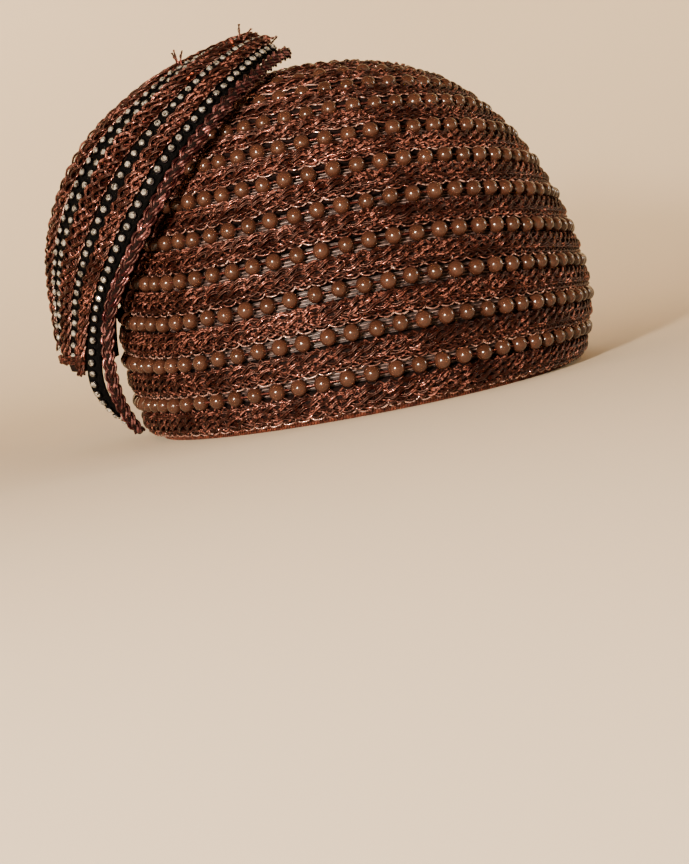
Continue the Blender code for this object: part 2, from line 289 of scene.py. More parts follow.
def wing_point(climb, across):
    """Points of the wing's outer face, or of the bare crown where the wing stands on nothing."""
    climb, across = np.broadcast_arrays(np.asarray(climb, float), np.asarray(across, float))
    way = WING_FOOT + climb * (WING_TOP - WING_FOOT)
    share = np.interp(way, WAYS, SHARES)
    mean_half = (CROWN_HALF_WIDTH + CROWN_HALF_DEPTH) / 2
    swing = mean_half * share + WING_REACH * (wing_value(2, climb) + wing_value(3, climb)) / 2
    turn = np.radians(wing_value(1, climb)) - across / swing
    return off_net(way, turn, wing_stand(climb, across)[..., None])


def wing_frame(climb, across):
    """Points of the wing's outer face, with the directions out of it, forward and along the climb."""
    climb, across = np.broadcast_arrays(np.asarray(climb, float), np.asarray(across, float))
    point = wing_point(climb, across)
    along = unit(wing_point(climb + SMALL_CLIMB, across) - wing_point(climb - SMALL_CLIMB, across))
    forward = wing_point(climb, across - SMALL_WAY) - wing_point(climb, across + SMALL_WAY)
    out = unit(np.cross(forward, along))
    faces_in = np.sum(out * (point - INSIDE_HAT), axis=-1)[..., None] < 0
    out = np.where(faces_in, -out, out)
    return point, out, unit(np.cross(along, out)), along


def off_wing(climb, across, rise):
    """Points that stand this far out from the wing's outer face."""
    point, out, forward, along = wing_frame(climb, across)
    return point + rise * out


def body_across(climb, share):
    """The way back from the front edge to a share of the width of the wing's body, behind the tape."""
    return WING_BODY_START + share * (wing_width(climb) - WING_BODY_START)


def at_share(share):
    """A line at one share of the width of the wing's body."""
    return lambda climb: body_across(climb, share)


def at_width(across):
    """A line that keeps one distance from the wing's front edge."""
    return lambda climb: np.full(np.shape(climb), across)


print("The wing is", round(WING_WIDTH / MM), "mm wide at its widest")

# %% [markdown]
# ## Guides
#
# Yarn, beads and stones all follow lines on those two surfaces. A guide is such a line: a chain of points,
# each with the directions out, up and along kept on it as attributes. Geometry Nodes read those, so one tree
# can lay a plait round the crown or down the wing.

# %% Make a guide


def arc_of(points):
    """The way along a line of points, from its start to each of them."""
    return np.concatenate([[0.0], np.cumsum(np.linalg.norm(np.diff(points, axis=0), axis=1))])


def add_guide(name, frame_rows, closed, size=None):
    """A chain of points with its directions, its phase (one full turn from end to end) and its arc length."""
    points, out, up, along = frame_rows
    count = len(points)
    mesh = bpy.data.meshes.new(name)
    edges = [(here, here + 1) for here in range(count - 1)] + ([(count - 1, 0)] if closed else [])
    mesh.from_pydata([tuple(point) for point in points], edges, [])
    arc = arc_of(points)
    phase = TURN * np.arange(count) / count if closed else TURN * arc / arc[-1]
    for label, rows in (("out_way", out), ("up_way", up), ("along_way", along)):
        layer = mesh.attributes.new(label, "FLOAT_VECTOR", "POINT")
        layer.data.foreach_set("vector", np.ascontiguousarray(rows, np.float32).ravel())
    size = np.ones(count) if size is None else size
    for label, values in (("phase", phase), ("arc", arc), ("size", size)):
        layer = mesh.attributes.new(label, "FLOAT", "POINT")
        layer.data.foreach_set("value", np.ascontiguousarray(values, np.float32))
    return add_object(name, mesh)


def ring_length(way):
    """The length round the crown, this way up it."""
    points = net_point(way, np.linspace(0.0, TURN, 181))
    return float(np.linalg.norm(np.diff(points, axis=0), axis=1).sum())


def ring_guide(way, step):
    """A guide round the crown, with about this far between its points, evenly spaced."""
    turns = np.linspace(0.0, TURN, 721)
    points = net_point(way, turns)
    arc = arc_of(points)
    count = max(12, round(arc[-1] / step))
    even = np.interp(arc[-1] * np.arange(count) / count, arc, turns)
    return add_guide("guide", crown_frame(way, even), True)


def wing_guide(place, first, last, step, size=None):
    """A guide along the wing. place(climb) is the way back from the front edge."""
    rough = np.linspace(first, last, 200)
    points = wing_point(rough, place(rough))
    arc = arc_of(points)
    count = max(8, round(arc[-1] / step))
    climbs = np.interp(np.linspace(0.0, arc[-1], count + 1), arc, rough)
    sizes = None if size is None else size(climbs)
    return add_guide("guide", wing_frame(climbs, place(climbs)), False, sizes)


print("A ring at the rim is", round(ring_length(0.0) / MM), "mm round")

# %% [markdown]
# ## A tree that plaits yarn along a guide
#
# A plait could be modelled loop by loop. It is quicker to say what each strand does: it swings from side to
# side, and it rises over its neighbour twice in each swing. Three strands a third of a turn apart then make a
# plait. A strand that rises only once in each swing, by the input called Roll, winds like a spring, and two
# of those make a coil. Each strand can itself be a few yarns wound round each other. With one strand and a
# forward lean, the same rule draws a row of loops, and with no swing at all it draws a plain thread.

# %% Geometry Nodes: plait on a guide
# Blender's longer names for the nodes that come often
MATH = "ShaderNodeMath"
VECTOR_MATH = "ShaderNodeVectorMath"
NAMED_ATTRIBUTE = "GeometryNodeInputNamedAttribute"
STORE_ATTRIBUTE = "GeometryNodeStoreNamedAttribute"
# Yarn goes uneven over about this length, and this far apart two yarns do so differently
UNEVEN_LENGTH = 2.5 * MM
UNEVEN_ROW = 7.31
GUIDE_VALUES = (
    ("out_way", "FLOAT_VECTOR"), ("up_way", "FLOAT_VECTOR"), ("along_way", "FLOAT_VECTOR"),
    ("phase", "FLOAT"), ("arc", "FLOAT"), ("size", "FLOAT"),
)
PLAIT_INPUTS = (
    ("Strands", "NodeSocketInt"),
    ("Yarns", "NodeSocketInt"),
    ("Waves", "NodeSocketFloat"),
    ("Swing", "NodeSocketFloat"),
    ("Rise", "NodeSocketFloat"),
    ("Roll", "NodeSocketFloat"),
    ("Lean", "NodeSocketFloat"),
    ("Place", "NodeSocketFloat"),
    ("Lift", "NodeSocketFloat"),
    ("Ply", "NodeSocketFloat"),
    ("Ply Turns", "NodeSocketFloat"),
    ("Radius", "NodeSocketFloat"),
    ("Sides", "NodeSocketInt"),
    ("Jitter", "NodeSocketFloat"),
    ("Seed", "NodeSocketInt"),
    ("Material", "NodeSocketMaterial"),
)


def new_tree(name, inputs):
    """An empty tree that takes geometry and named inputs, and gives geometry back."""
    tree = bpy.data.node_groups.new(name, "GeometryNodeTree")
    tree.interface.new_socket("Geometry", in_out="INPUT", socket_type="NodeSocketGeometry")
    for label, kind in inputs:
        tree.interface.new_socket(label, in_out="INPUT", socket_type=kind)
    tree.interface.new_socket("Geometry", in_out="OUTPUT", socket_type="NodeSocketGeometry")
    return tree, add_node(tree, "NodeGroupInput").outputs


def build_plait_tree():
    """The tree that turns a guide into plaited, coiled or plain yarn."""
    tree, given = new_tree("plait_on_guide", PLAIT_INPUTS)
    kept = {
        label: add_node(tree, NAMED_ATTRIBUTE, {"Name": label}, data_type=kind)
        for label, kind in GUIDE_VALUES
    }

    # One copy of the guide for each yarn, and its number as a strand and as a yarn in that strand
    line = add_node(tree, "GeometryNodeMeshToCurve", {"Mesh": given["Geometry"]})
    amount = add_node(tree, MATH, {0: given["Strands"], 1: given["Yarns"]}, operation="MULTIPLY")
    copies = add_node(tree, "GeometryNodeDuplicateElements", {"Geometry": line, "Amount": amount},
                      domain="SPLINE")
    index = copies.outputs["Duplicate Index"]
    share = add_node(tree, MATH, {0: index, 1: given["Yarns"]}, operation="DIVIDE")
    strand = add_node(tree, MATH, {0: share}, operation="FLOOR")
    yarn = add_node(tree, MATH, {0: index, 1: given["Yarns"]}, operation="MODULO")

    # The angle of the swing, and the angle at which a yarn winds round its strand
    strand_turn = add_node(tree, MATH, {0: strand, 1: TURN}, operation="MULTIPLY")
    strand_turn = add_node(tree, MATH, {0: strand_turn, 1: given["Strands"]}, operation="DIVIDE")
    swing_angle = add_node(tree, MATH, {0: kept["phase"], 1: given["Waves"], 2: strand_turn},
                           operation="MULTIPLY_ADD")
    yarn_turn = add_node(tree, MATH, {0: yarn, 1: TURN}, operation="MULTIPLY")
    yarn_turn = add_node(tree, MATH, {0: yarn_turn, 1: given["Yarns"]}, operation="DIVIDE")
    ply_angle = add_node(tree, MATH, {0: kept["phase"], 1: given["Ply Turns"], 2: yarn_turn},
                         operation="MULTIPLY_ADD")

    # A slow unevenness, as in anything plaited by hand
    spot = add_node(tree, MATH, {0: kept["arc"], 1: 1 / UNEVEN_LENGTH}, operation="MULTIPLY")
    row = add_node(tree, MATH, {0: index, 1: UNEVEN_ROW}, operation="MULTIPLY")
    spot = add_node(tree, "ShaderNodeCombineXYZ", {0: spot, 1: row, 2: given["Seed"]})
    shake = add_node(tree, "ShaderNodeTexNoise", {"Vector": spot, "Scale": 1.0, "Detail": 1.0})
    shake = add_node(tree, VECTOR_MATH, {0: shake.outputs["Color"], 1: (0.5, 0.5, 0.5)}, operation="SUBTRACT")
    shake = add_node(tree, VECTOR_MATH, {0: shake, "Scale": given["Jitter"]}, operation="SCALE")
    shake = add_node(tree, "ShaderNodeSeparateXYZ", {0: shake})

    # How far each point goes across the guide, out of the hat and along the guide
    sine = add_node(tree, MATH, {0: swing_angle}, operation="SINE")
    across = add_node(tree, MATH, {0: given["Swing"], 1: sine, 2: given["Place"]}, operation="MULTIPLY_ADD")
    across = add_node(tree, MATH, {0: across, 1: kept["size"], 2: shake.outputs[0]}, operation="MULTIPLY_ADD")
    cosine = add_node(tree, MATH, {0: ply_angle}, operation="COSINE")
    across = add_node(tree, MATH, {0: given["Ply"], 1: cosine, 2: across}, operation="MULTIPLY_ADD")
    twice = add_node(tree, MATH, {0: swing_angle, 1: 2.0}, operation="MULTIPLY")
    sine = add_node(tree, MATH, {0: twice}, operation="SINE")
    rise = add_node(tree, MATH, {0: given["Lift"], 1: shake.outputs[1]}, operation="ADD")
    rise = add_node(tree, MATH, {0: given["Rise"], 1: sine, 2: rise}, operation="MULTIPLY_ADD")
    sine = add_node(tree, MATH, {0: ply_angle}, operation="SINE")
    rise = add_node(tree, MATH, {0: given["Ply"], 1: sine, 2: rise}, operation="MULTIPLY_ADD")
    cosine = add_node(tree, MATH, {0: swing_angle}, operation="COSINE")
    rise = add_node(tree, MATH, {0: given["Roll"], 1: cosine, 2: rise}, operation="MULTIPLY_ADD")
    lean = add_node(tree, MATH, {0: given["Lean"], 1: cosine}, operation="MULTIPLY")
    offset = add_node(tree, VECTOR_MATH, {0: kept["up_way"], "Scale": across}, operation="SCALE")
    for label, reach in (("out_way", rise), ("along_way", lean)):
        move = add_node(tree, VECTOR_MATH, {0: kept[label], "Scale": reach}, operation="SCALE")
        offset = add_node(tree, VECTOR_MATH, {0: offset, 1: move}, operation="ADD")

    # The moved lines become yarn: each has its own tint, and a round section
    placed = add_node(tree, "GeometryNodeSetPosition", {"Geometry": copies, "Offset": offset})
    chance = add_node(tree, "FunctionNodeRandomValue", {7: index, 8: given["Seed"]}, data_type="FLOAT")
    tinted = add_node(tree, STORE_ATTRIBUTE, {"Geometry": placed, "Name": "tint", "Value": chance.outputs[1]},
                      data_type="FLOAT", domain="POINT")
    ring = add_node(tree, "GeometryNodeCurvePrimitiveCircle",
                    {"Resolution": given["Sides"], "Radius": given["Radius"]})
    body = add_node(tree, "GeometryNodeCurveToMesh",
                    {"Curve": tinted, "Profile Curve": ring, "Fill Caps": True})
    smooth = add_node(tree, "GeometryNodeSetShadeSmooth", {0: body, "Shade Smooth": True})
    real = add_node(tree, "GeometryNodeRealizeInstances", {0: smooth})
    dressed = add_node(tree, "GeometryNodeSetMaterial", {0: real, "Material": given["Material"]})
    add_node(tree, "NodeGroupOutput", {0: dressed})
    return tree


PLAIT_TREE = build_plait_tree()
print("The plait tree has", len(PLAIT_TREE.nodes), "nodes")

# %% [markdown]
# ## A tree that sets small pieces along a guide
#
# Beads, stones, their metal cups and the ribbon's ribs are all one small shape, repeated. The tree stands a
# copy on each point of a guide, with its Z out of the hat and its X along the guide, and changes each copy's
# size by a little chance, because no two beads are quite the same.

# %% Geometry Nodes: pieces on a guide
PIECES_INPUTS = (
    ("Piece", "NodeSocketObject"),
    ("Place", "NodeSocketFloat"),
    ("Lift", "NodeSocketFloat"),
    ("Size Change", "NodeSocketFloat"),
    ("Jitter", "NodeSocketFloat"),
    ("Seed", "NodeSocketInt"),
    ("Material", "NodeSocketMaterial"),
)


def build_pieces_tree():
    """The tree that stands a copy of one small shape on each point of a guide."""
    tree, given = new_tree("pieces_on_guide", PIECES_INPUTS)
    out, up, along = [
        add_node(tree, NAMED_ATTRIBUTE, {"Name": label}, data_type="FLOAT_VECTOR")
        for label in ("out_way", "up_way", "along_way")
    ]
    size = add_node(tree, NAMED_ATTRIBUTE, {"Name": "size"}, data_type="FLOAT")
    reach = add_node(tree, MATH, {0: given["Place"], 1: size}, operation="MULTIPLY")
    aside = add_node(tree, VECTOR_MATH, {0: up, "Scale": reach}, operation="SCALE")
    raised = add_node(tree, VECTOR_MATH, {0: out, "Scale": given["Lift"]}, operation="SCALE")
    offset = add_node(tree, VECTOR_MATH, {0: aside, 1: raised}, operation="ADD")
    minus = add_node(tree, MATH, {0: given["Jitter"], 1: -1.0}, operation="MULTIPLY")
    shake = add_node(tree, "FunctionNodeRandomValue", {0: minus, 1: given["Jitter"], 8: given["Seed"]},
                     data_type="FLOAT_VECTOR")
    offset = add_node(tree, VECTOR_MATH, {0: offset, 1: shake}, operation="ADD")
    placed = add_node(tree, "GeometryNodeSetPosition", {0: given["Geometry"], "Offset": offset})
    facing = add_node(tree, "FunctionNodeAxesToRotation", {0: out, 1: along},
                      primary_axis="Z", secondary_axis="X")
    low = add_node(tree, MATH, {0: 1.0, 1: given["Size Change"]}, operation="SUBTRACT")
    high = add_node(tree, MATH, {0: 1.0, 1: given["Size Change"]}, operation="ADD")
    scale = add_node(tree, "FunctionNodeRandomValue", {2: low, 3: high, 8: given["Seed"]},
                     data_type="FLOAT")
    shape = add_node(tree, "GeometryNodeObjectInfo", {"Object": given["Piece"]})
    copies = add_node(tree, "GeometryNodeInstanceOnPoints", {
        "Points": placed, "Instance": shape.outputs["Geometry"],
        "Rotation": facing, "Scale": scale.outputs[1],
    })
    chance = add_node(tree, "FunctionNodeRandomValue", {8: given["Seed"]}, data_type="FLOAT")
    tinted = add_node(tree, STORE_ATTRIBUTE, {"Geometry": copies, "Name": "tint", "Value": chance.outputs[1]},
                      data_type="FLOAT", domain="INSTANCE")
    real = add_node(tree, "GeometryNodeRealizeInstances", {0: tinted})
    dressed = add_node(tree, "GeometryNodeSetMaterial", {0: real, "Material": given["Material"]})
    add_node(tree, "NodeGroupOutput", {0: dressed})
    return tree


PIECES_TREE = build_pieces_tree()
print("The pieces tree has", len(PIECES_TREE.nodes), "nodes")

# %% [markdown]
# ## Baking and joining
#
# A tree's result is baked into a plain mesh, so the finished hat holds no trees. The
# inputs are set through their identifiers before anything is evaluated. Parts of one sewn piece, such as the
# base and the yarns of a braid, are then joined into one object.

# %% Bake a tree, and join what belongs together


def bake(guide, tree, **values):
    """The mesh object that a tree makes of a guide. An input such as Ply Turns is given as Ply_Turns."""
    modifier = guide.modifiers.new(tree.name, "NODES")
    modifier.node_group = tree
    for item in tree.interface.items_tree:
        label = item.name.replace(" ", "_")
        if item.in_out == "INPUT" and label in values:
            modifier[item.identifier] = values[label]
    graph = bpy.context.evaluated_depsgraph_get()
    shown = guide.evaluated_get(graph)
    mesh = bpy.data.meshes.new_from_object(shown, preserve_all_data_layers=True, depsgraph=graph)
    guide.modifiers.remove(modifier)
    return add_object("baked", mesh)


def drop(*objects):
    """Removes guides and patterns that have done their work."""
    for made in objects:
        bpy.data.objects.remove(made, do_unlink=True)


def finish_piece(name, slot, nodes, *objects):
    """Joins the objects into one piece that rides on the hat and stands for these nodes of the frame."""
    piece = objects[0]
    if len(objects) > 1:
        joined = {"active_object": piece, "object": piece, "selected_editable_objects": list(objects)}
        with bpy.context.temp_override(**joined):
            bpy.ops.object.join()
    piece.name = name
    piece.data.name = name
    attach(piece, "root")
    if nodes:
        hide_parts(*nodes)
    piece.data.calc_loop_triangles()
    print(name, "has", len(piece.data.loop_triangles), "triangles")
    return piece


def add_mesh(name, vertices, faces, surface, smooth=True):
    """A mesh object from lists of points and faces, with its normals facing outwards."""
    mesh = bpy.data.meshes.new(name)
    mesh.from_pydata([tuple(point) for point in vertices], [], faces)
    tidy = bmesh.new()
    tidy.from_mesh(mesh)
    bmesh.ops.recalc_face_normals(tidy, faces=tidy.faces)
    tidy.to_mesh(mesh)
    tidy.free()
    mesh.materials.append(surface)
    mesh.polygons.foreach_set("use_smooth", [smooth] * len(mesh.polygons))
    return add_object(name, mesh)


def wall_faces(rings, sides, closed=False, start=0):
    """The faces between rings of points. Closed means that the last ring meets the first one."""
    faces = []
    for ring in range(rings if closed else rings - 1):
        low = start + ring * sides
        high = start + (ring + 1) % rings * sides
        for step in range(sides):
            after = (step + 1) % sides
            faces.append((low + step, low + after, high + after, high + step))
    return faces


def sweep(name, rings, surface, closed):
    """A body from rows of section points. The last row joins the first, or else both ends are capped."""
    count, around = len(rings), len(rings[0])
    faces = wall_faces(count, around, closed)
    if not closed:
        faces += [tuple(range(around)), tuple(range((count - 1) * around, count * around))[::-1]]
    return add_mesh(name, [point for ring in rings for point in ring], faces, surface)


print("Ready to bake")

# %% [markdown]
# ## Yarn
#
# The braid is knitted from metallic yarn: cotton wrapped in narrow copper foil. The foil shows as short
# bright dashes and the cotton between them stays dark, so the material mixes the two with a noise whose
# patches are about as long as one turn of the foil. The dashes are partly the foil's own colour and partly
# painted glint: in larger patches the foil turns pale pink, standing for light caught on the yarn. Each yarn
# also has its own tint, kept on it by the plait tree.

# %% Materials: yarn and cloth
MIX = "ShaderNodeMix"
PRINCIPLED = "ShaderNodeBsdfPrincipled"


def end_material(made, shader, bump=None):
    """Links the shader to the material's output, with its bump if it has one."""
    tree = made.node_tree
    if bump is not None:
        tree.links.new(bump.outputs[0], shader.inputs["Normal"])
    add_node(tree, "ShaderNodeOutputMaterial", {"Surface": shader})
    return made


def new_material(name):
    """An empty material, its nodes, and the place on the piece that its patterns read."""
    made = bpy.data.materials.new(name)
    made.use_nodes = True
    made.node_tree.nodes.clear()
    return made, made.node_tree, add_node(made.node_tree, "ShaderNodeTexCoord").outputs["Object"]


# The painted glint comes and goes in patches about this long
PAINTED_GLINT_PATCH = 9 * MM
YARN_FIBRE = 0.35 * MM


def make_foil_yarn(name, cotton, copper, glint, foil_share, foil_turn=1.3 * MM):
    """Metallic yarn: copper foil round dark cotton, whose foil turns pale pink in patches as a painted glint.
    It shines on its crests and stays dark in its creases.
    """
    made, tree, place = new_material(name)
    foil = add_node(tree, "ShaderNodeTexNoise", {"Vector": place, "Scale": 1 / foil_turn, "Detail": 2.0})
    tint = add_node(tree, "ShaderNodeAttribute", attribute_name="tint")
    lift = add_node(tree, MATH, {0: tint.outputs["Fac"], 1: 0.16, 2: -0.08}, operation="MULTIPLY_ADD")
    level = add_node(tree, MATH, {0: foil, 1: lift}, operation="ADD")
    shown = add_node(tree, "ShaderNodeMapRange",
                     {"Value": level, "From Min": 0.50 - foil_share, "From Max": 0.62 - foil_share})
    # Painted glint: in patches the foil's copper turns to a pale pink that stands for light caught on the
    # yarn
    glint_patch = add_node(tree, "ShaderNodeTexNoise", {"Vector": place, "Scale": 1 / PAINTED_GLINT_PATCH, "Detail": 1.0})
    glint_patch = add_node(tree, "ShaderNodeMapRange", {"Value": glint_patch, "From Min": 0.36, "From Max": 0.62})
    metal = add_node(tree, MIX, {0: glint_patch, 6: linear(copper), 7: linear(glint)}, data_type="RGBA")
    colour = add_node(tree, MIX, {0: shown, 6: linear(cotton), 7: metal.outputs[2]}, data_type="RGBA")
    metallic = add_node(tree, MATH, {0: shown, 1: 0.65}, operation="MULTIPLY")
    rough = add_node(tree, "ShaderNodeMapRange", {"Value": shown, "To Min": 0.45, "To Max": 0.17})
    fine = add_node(tree, "ShaderNodeTexNoise", {"Vector": place, "Scale": 1 / YARN_FIBRE, "Detail": 2.0})
    bump = add_node(tree, "ShaderNodeBump", {"Height": fine, "Strength": 0.35, "Distance": 0.1 * MM})
    shader = add_node(tree, PRINCIPLED, {
        "Base Color": colour.outputs[2], "Metallic": metallic, "Roughness": rough,
        "Specular Tint": linear("E8B4A4"),
    })
    return end_material(made, shader, bump)


def make_cloth(name, dark, light, thread, rough=0.85, gloss=0.1):
    """Plain woven or knitted cloth: matt, with its threads just darker and lighter.

    Real threads are too fine to show, so the pattern is drawn about three times as coarse.
    """
    made, tree, place = new_material(name)
    weave = add_node(tree, "ShaderNodeTexNoise", {"Vector": place, "Scale": 1 / thread, "Detail": 3.0})
    shown = add_node(tree, "ShaderNodeMapRange", {"Value": weave, "From Min": 0.4, "From Max": 0.62})
    colour = add_node(tree, MIX, {0: shown, 6: linear(dark), 7: linear(light)}, data_type="RGBA")
    bump = add_node(tree, "ShaderNodeBump", {"Height": weave, "Strength": 0.5, "Distance": 0.2 * MM})
    shader = add_node(tree, PRINCIPLED, {
        "Base Color": colour.outputs[2], "Roughness": rough, "Specular IOR Level": gloss,
    })
    return end_material(made, shader, bump)


# Foil round dark cotton. The first is the braid's. The next two are darker, as painted shade for yarn that
# lies deep in its creases and under other yarn, and paler, for its edges. The darker one also serves for the
# beads' strings, the hem, the binding and loose ends. The cord's is redder, with its foil in longer turns.
copper_yarn = make_foil_yarn("copper_foil_yarn", "150301", "2E0C08", "BC7868", -0.04, 1.1 * MM)
dark_and_shade_yarn = make_foil_yarn("dark_foil_yarn", "100201", "300C08", "7A443C", 0.02, 0.9 * MM)
pale_yarn = make_foil_yarn("pale_foil_yarn", "28100B", "8C5A4E", "E0B2A2", 0.06)
cord_yarn = make_foil_yarn("cord_foil_yarn", "1C0507", "331216", "A06A66", -0.02, 2.8 * MM)
# Mercerised cotton, with a little shine, and the dull cotton that is knitted behind the braid. The latter is
# near black as painted shade for the gaps between the yarns, and it also fills the cord's core and the top's
# button.
orange_thread = make_cloth("orange_cotton_thread", "7A2A18", "C86A48", 0.8 * MM, 0.7, 0.2)
backing_and_shade_knit = make_cloth("cotton_backing_knit", "080302", "160705", 0.8 * MM)
# Nylon is smooth, so the net has a soft shine, and its thick threads catch the light as grey lines
net_nylon = make_cloth("nylon_net", "1A100F", "3E302D", 0.9 * MM, 0.6, 0.3)
net_thread = make_cloth("nylon_thread", "3A2925", "8C7068", 1.4 * MM, 0.4, 0.5)
# Dull dark cloth behind the wing's braid, rayon ribbon with a silky shine, and velvet, which sends almost
# nothing back
wing_backing = make_cloth("wing_backing_cloth", "0A0403", "180A08", 1.0 * MM)
ribbon_rayon = make_cloth("grosgrain_rayon", "38150B", "5E2C1A", 1.5 * MM, 0.6, 0.4)
tape_velvet = make_cloth("black_velvet_tape", "020202", "070606", 0.8 * MM, 0.95, 0.05)
print("Made the yarns and cloths")

# %% [markdown]
# ## Beads and stones
#
# The beads are moulded acrylic in milk chocolate brown. Polished acrylic reflects the lamps as sharp points,
# so its roughness is low, and a faint grain under the surface keeps it from looking like paint. The stones
# are lead glass with a foil back, which sends light out again, so they are half metal under a clear gloss.

# %% Materials: beads, stones and cups
ACRYLIC_GRAIN = 2.2 * MM
# Size of the cells of painted sparkle on the stones
PAINTED_SPARKLE_WIDTH = 0.7 * MM
STAIN_WIDTH = 0.7 * MM


def make_acrylic(name, dark, light):
    """Polished acrylic: an even brown with sharp points of light, and a faint grain below its surface."""
    made, tree, place = new_material(name)
    grain = add_node(tree, "ShaderNodeTexNoise", {"Vector": place, "Scale": 1 / ACRYLIC_GRAIN, "Detail": 3.0})
    tint = add_node(tree, "ShaderNodeAttribute", attribute_name="tint")
    shade = add_node(tree, MATH, {0: grain, 1: tint.outputs["Fac"]}, operation="ADD")
    shade = add_node(tree, "ShaderNodeMapRange", {"Value": shade, "From Min": 0.3, "From Max": 1.3})
    colour = add_node(tree, MIX, {0: shade, 6: linear(dark), 7: linear(light)}, data_type="RGBA")
    shader = add_node(tree, PRINCIPLED, {
        "Base Color": colour.outputs[2], "Roughness": 0.16, "IOR": 1.49,
    })
    return end_material(made, shader)


def make_foiled_glass(name):
    """Lead glass over foil, with painted sparkle: white in small cells where the cut glass sends the light
    out, and dark grey where it sends it aside.
    """
    made, tree, place = new_material(name)
    # Painted sparkle: each cell gets its own grey, for the light that one cut face of the glass sends back
    painted_sparkle = add_node(tree, "ShaderNodeTexVoronoi", {"Vector": place, "Scale": 1 / PAINTED_SPARKLE_WIDTH})
    painted_sparkle = add_node(tree, "ShaderNodeSeparateColor", {0: painted_sparkle.outputs["Color"]})
    dark, bright = linear("0E0D10"), linear("C8C3B6")
    colour = add_node(tree, MIX, {0: painted_sparkle, 6: dark, 7: bright}, data_type="RGBA")
    shader = add_node(tree, PRINCIPLED, {
        "Base Color": colour.outputs[2], "Metallic": 0.5, "Roughness": 0.1,
        "Coat Weight": 1.0, "Coat Roughness": 0.03, "Coat IOR": 1.7,
    })
    return end_material(made, shader)


def make_blackened_brass(name):
    """The brass of the pressed cups, blackened in a bath: a dark metal with a dull, uneven shine."""
    made, tree, place = new_material(name)
    stain = add_node(tree, "ShaderNodeTexNoise", {"Vector": place, "Scale": 1 / STAIN_WIDTH, "Detail": 2.0})
    rough = add_node(tree, "ShaderNodeMapRange", {"Value": stain, "To Min": 0.25, "To Max": 0.55})
    shader = add_node(tree, PRINCIPLED, {
        "Base Color": linear("1E1B1C"), "Metallic": 1.0, "Roughness": rough,
    })
    return end_material(made, shader)


bead_acrylic = make_acrylic("chocolate_acrylic", "311B12", "3C2319")
stone_glass = make_foiled_glass("foiled_lead_glass")
cup_metal = make_blackened_brass("blackened_brass")
print("Made the beads' and stones' materials")

# %% [markdown]
# ## The net and its threads
#
# Under everything is a dome of stiff net. It shows only in the valleys between the braids, behind the beads,
# so a smooth shell with two faces is enough for it. The fine threads that run along each valley are laid on
# it with the plait tree, as strands that don't swing.

# %% The net dome
BEAD_DIAMETER = 5.2 * MM
# A bead is this much wider than the tube that stands for its string in the frame
BEAD_FULLNESS = 1.12
# How deep the strings lie in the braid, up to the first of these rows and from the second one on
SINK_ROWS = (5, 9)
BEAD_SINK = (0.35 * MM, 1.2 * MM)
FIRST_BEAD_ROW = 12.1 * MM
BEAD_ROWS = 12
LAST_BEAD_ROW_FROM_POLE = 18.66 * MM
ROW_PITCH = (CROWN_WAY - LAST_BEAD_ROW_FROM_POLE - FIRST_BEAD_ROW) / (BEAD_ROWS - 1)
SEWN_GAP = 0.35 * MM
NET_THICKNESS = 1.2 * MM
NET_CAP = 4.0 * MM
RING_STEPS = 96
RING_TURNS = np.arange(RING_STEPS) * TURN / RING_STEPS
THREAD = {"Strands": 1, "Yarns": 1, "Waves": 0.0}
VALLEY_THREADS = (-1.7, -0.6, 0.6, 1.7)
VALLEY_STEP = 3.4 * MM


def bead_way(row):
    """The way up the crown to a string of beads, counted from 0 at the rim."""
    return FIRST_BEAD_ROW + ROW_PITCH * row


def bead_sink(row):
    """The upper strings lie deeper in the braid than the lower ones."""
    return float(np.interp(row, SINK_ROWS, BEAD_SINK))


def dome_mesh(name, surface):
    """The dome as a closed shell: an outer and an inner face that meet at the rim."""
    ways = np.linspace(0.0, CROWN_WAY - NET_CAP, 40)
    pole = crown_frame(CROWN_WAY, 0.0)[0]
    points = []
    for rise in (0.0, -NET_THICKNESS):
        rings = [off_net(way, RING_TURNS, rise) for way in ways]
        rings[0][:, 2] = RIBBON_DROP
        points += [point for ring in rings for point in ring]
        points.append(pole + rise * np.array([0.0, 0.0, 1.0]))
    shell = len(ways) * RING_STEPS + 1
    faces = []
    steps = [(step, (step + 1) % RING_STEPS) for step in range(RING_STEPS)]
    for side in (0, shell):
        faces += wall_faces(len(ways), RING_STEPS, start=side)
        last = side + (len(ways) - 1) * RING_STEPS
        faces += [(last + step, last + after, side + shell - 1) for step, after in steps]
    faces += [(step, after, shell + after, shell + step) for step, after in steps]
    return add_mesh(name, points, faces, surface)


def valley_threads(row):
    """The fine threads of the net beside one string of beads."""
    guide = ring_guide(bead_way(row), VALLEY_STEP)
    threads = [
        bake(guide, PLAIT_TREE, **THREAD, Place=place * MM, Lift=0.5 * MM, Radius=0.3 * MM, Sides=3,
             Jitter=0.35 * MM, Seed=row * 7 + number, Material=net_thread)
        for number, place in enumerate(VALLEY_THREADS)
    ]
    drop(guide)
    return threads


pieces_of_net = [dome_mesh("net_dome", net_nylon)]
for row in range(BEAD_ROWS):
    pieces_of_net += valley_threads(row)
finish_piece("net_crown", "stiff_net", ["crown_net"], *pieces_of_net)

# %% [markdown]
# ## Beads on their strings
#
# A string of beads is a guide with one point for each bead. The bead itself is a small round mesh of about a
# hundred faces, which is plenty at five millimetres across.

# %% Strings of beads
BEAD_SPACING = 7.9 * MM
STRING_LIFT = SEWN_GAP + BEAD_DIAMETER / 2
STRING_STEP = 2.6 * MM


def ball(name, radius):
    """A small round bead. Its poles point out of the hat and into it, so the lit side is the evenest."""
    mesh = bpy.data.meshes.new(name)
    shape = bmesh.new()
    bmesh.ops.create_uvsphere(shape, u_segments=14, v_segments=8, radius=radius)
    shape.to_mesh(mesh)
    shape.free()
    mesh.polygons.foreach_set("use_smooth", [True] * len(mesh.polygons))
    return add_object(name, mesh)


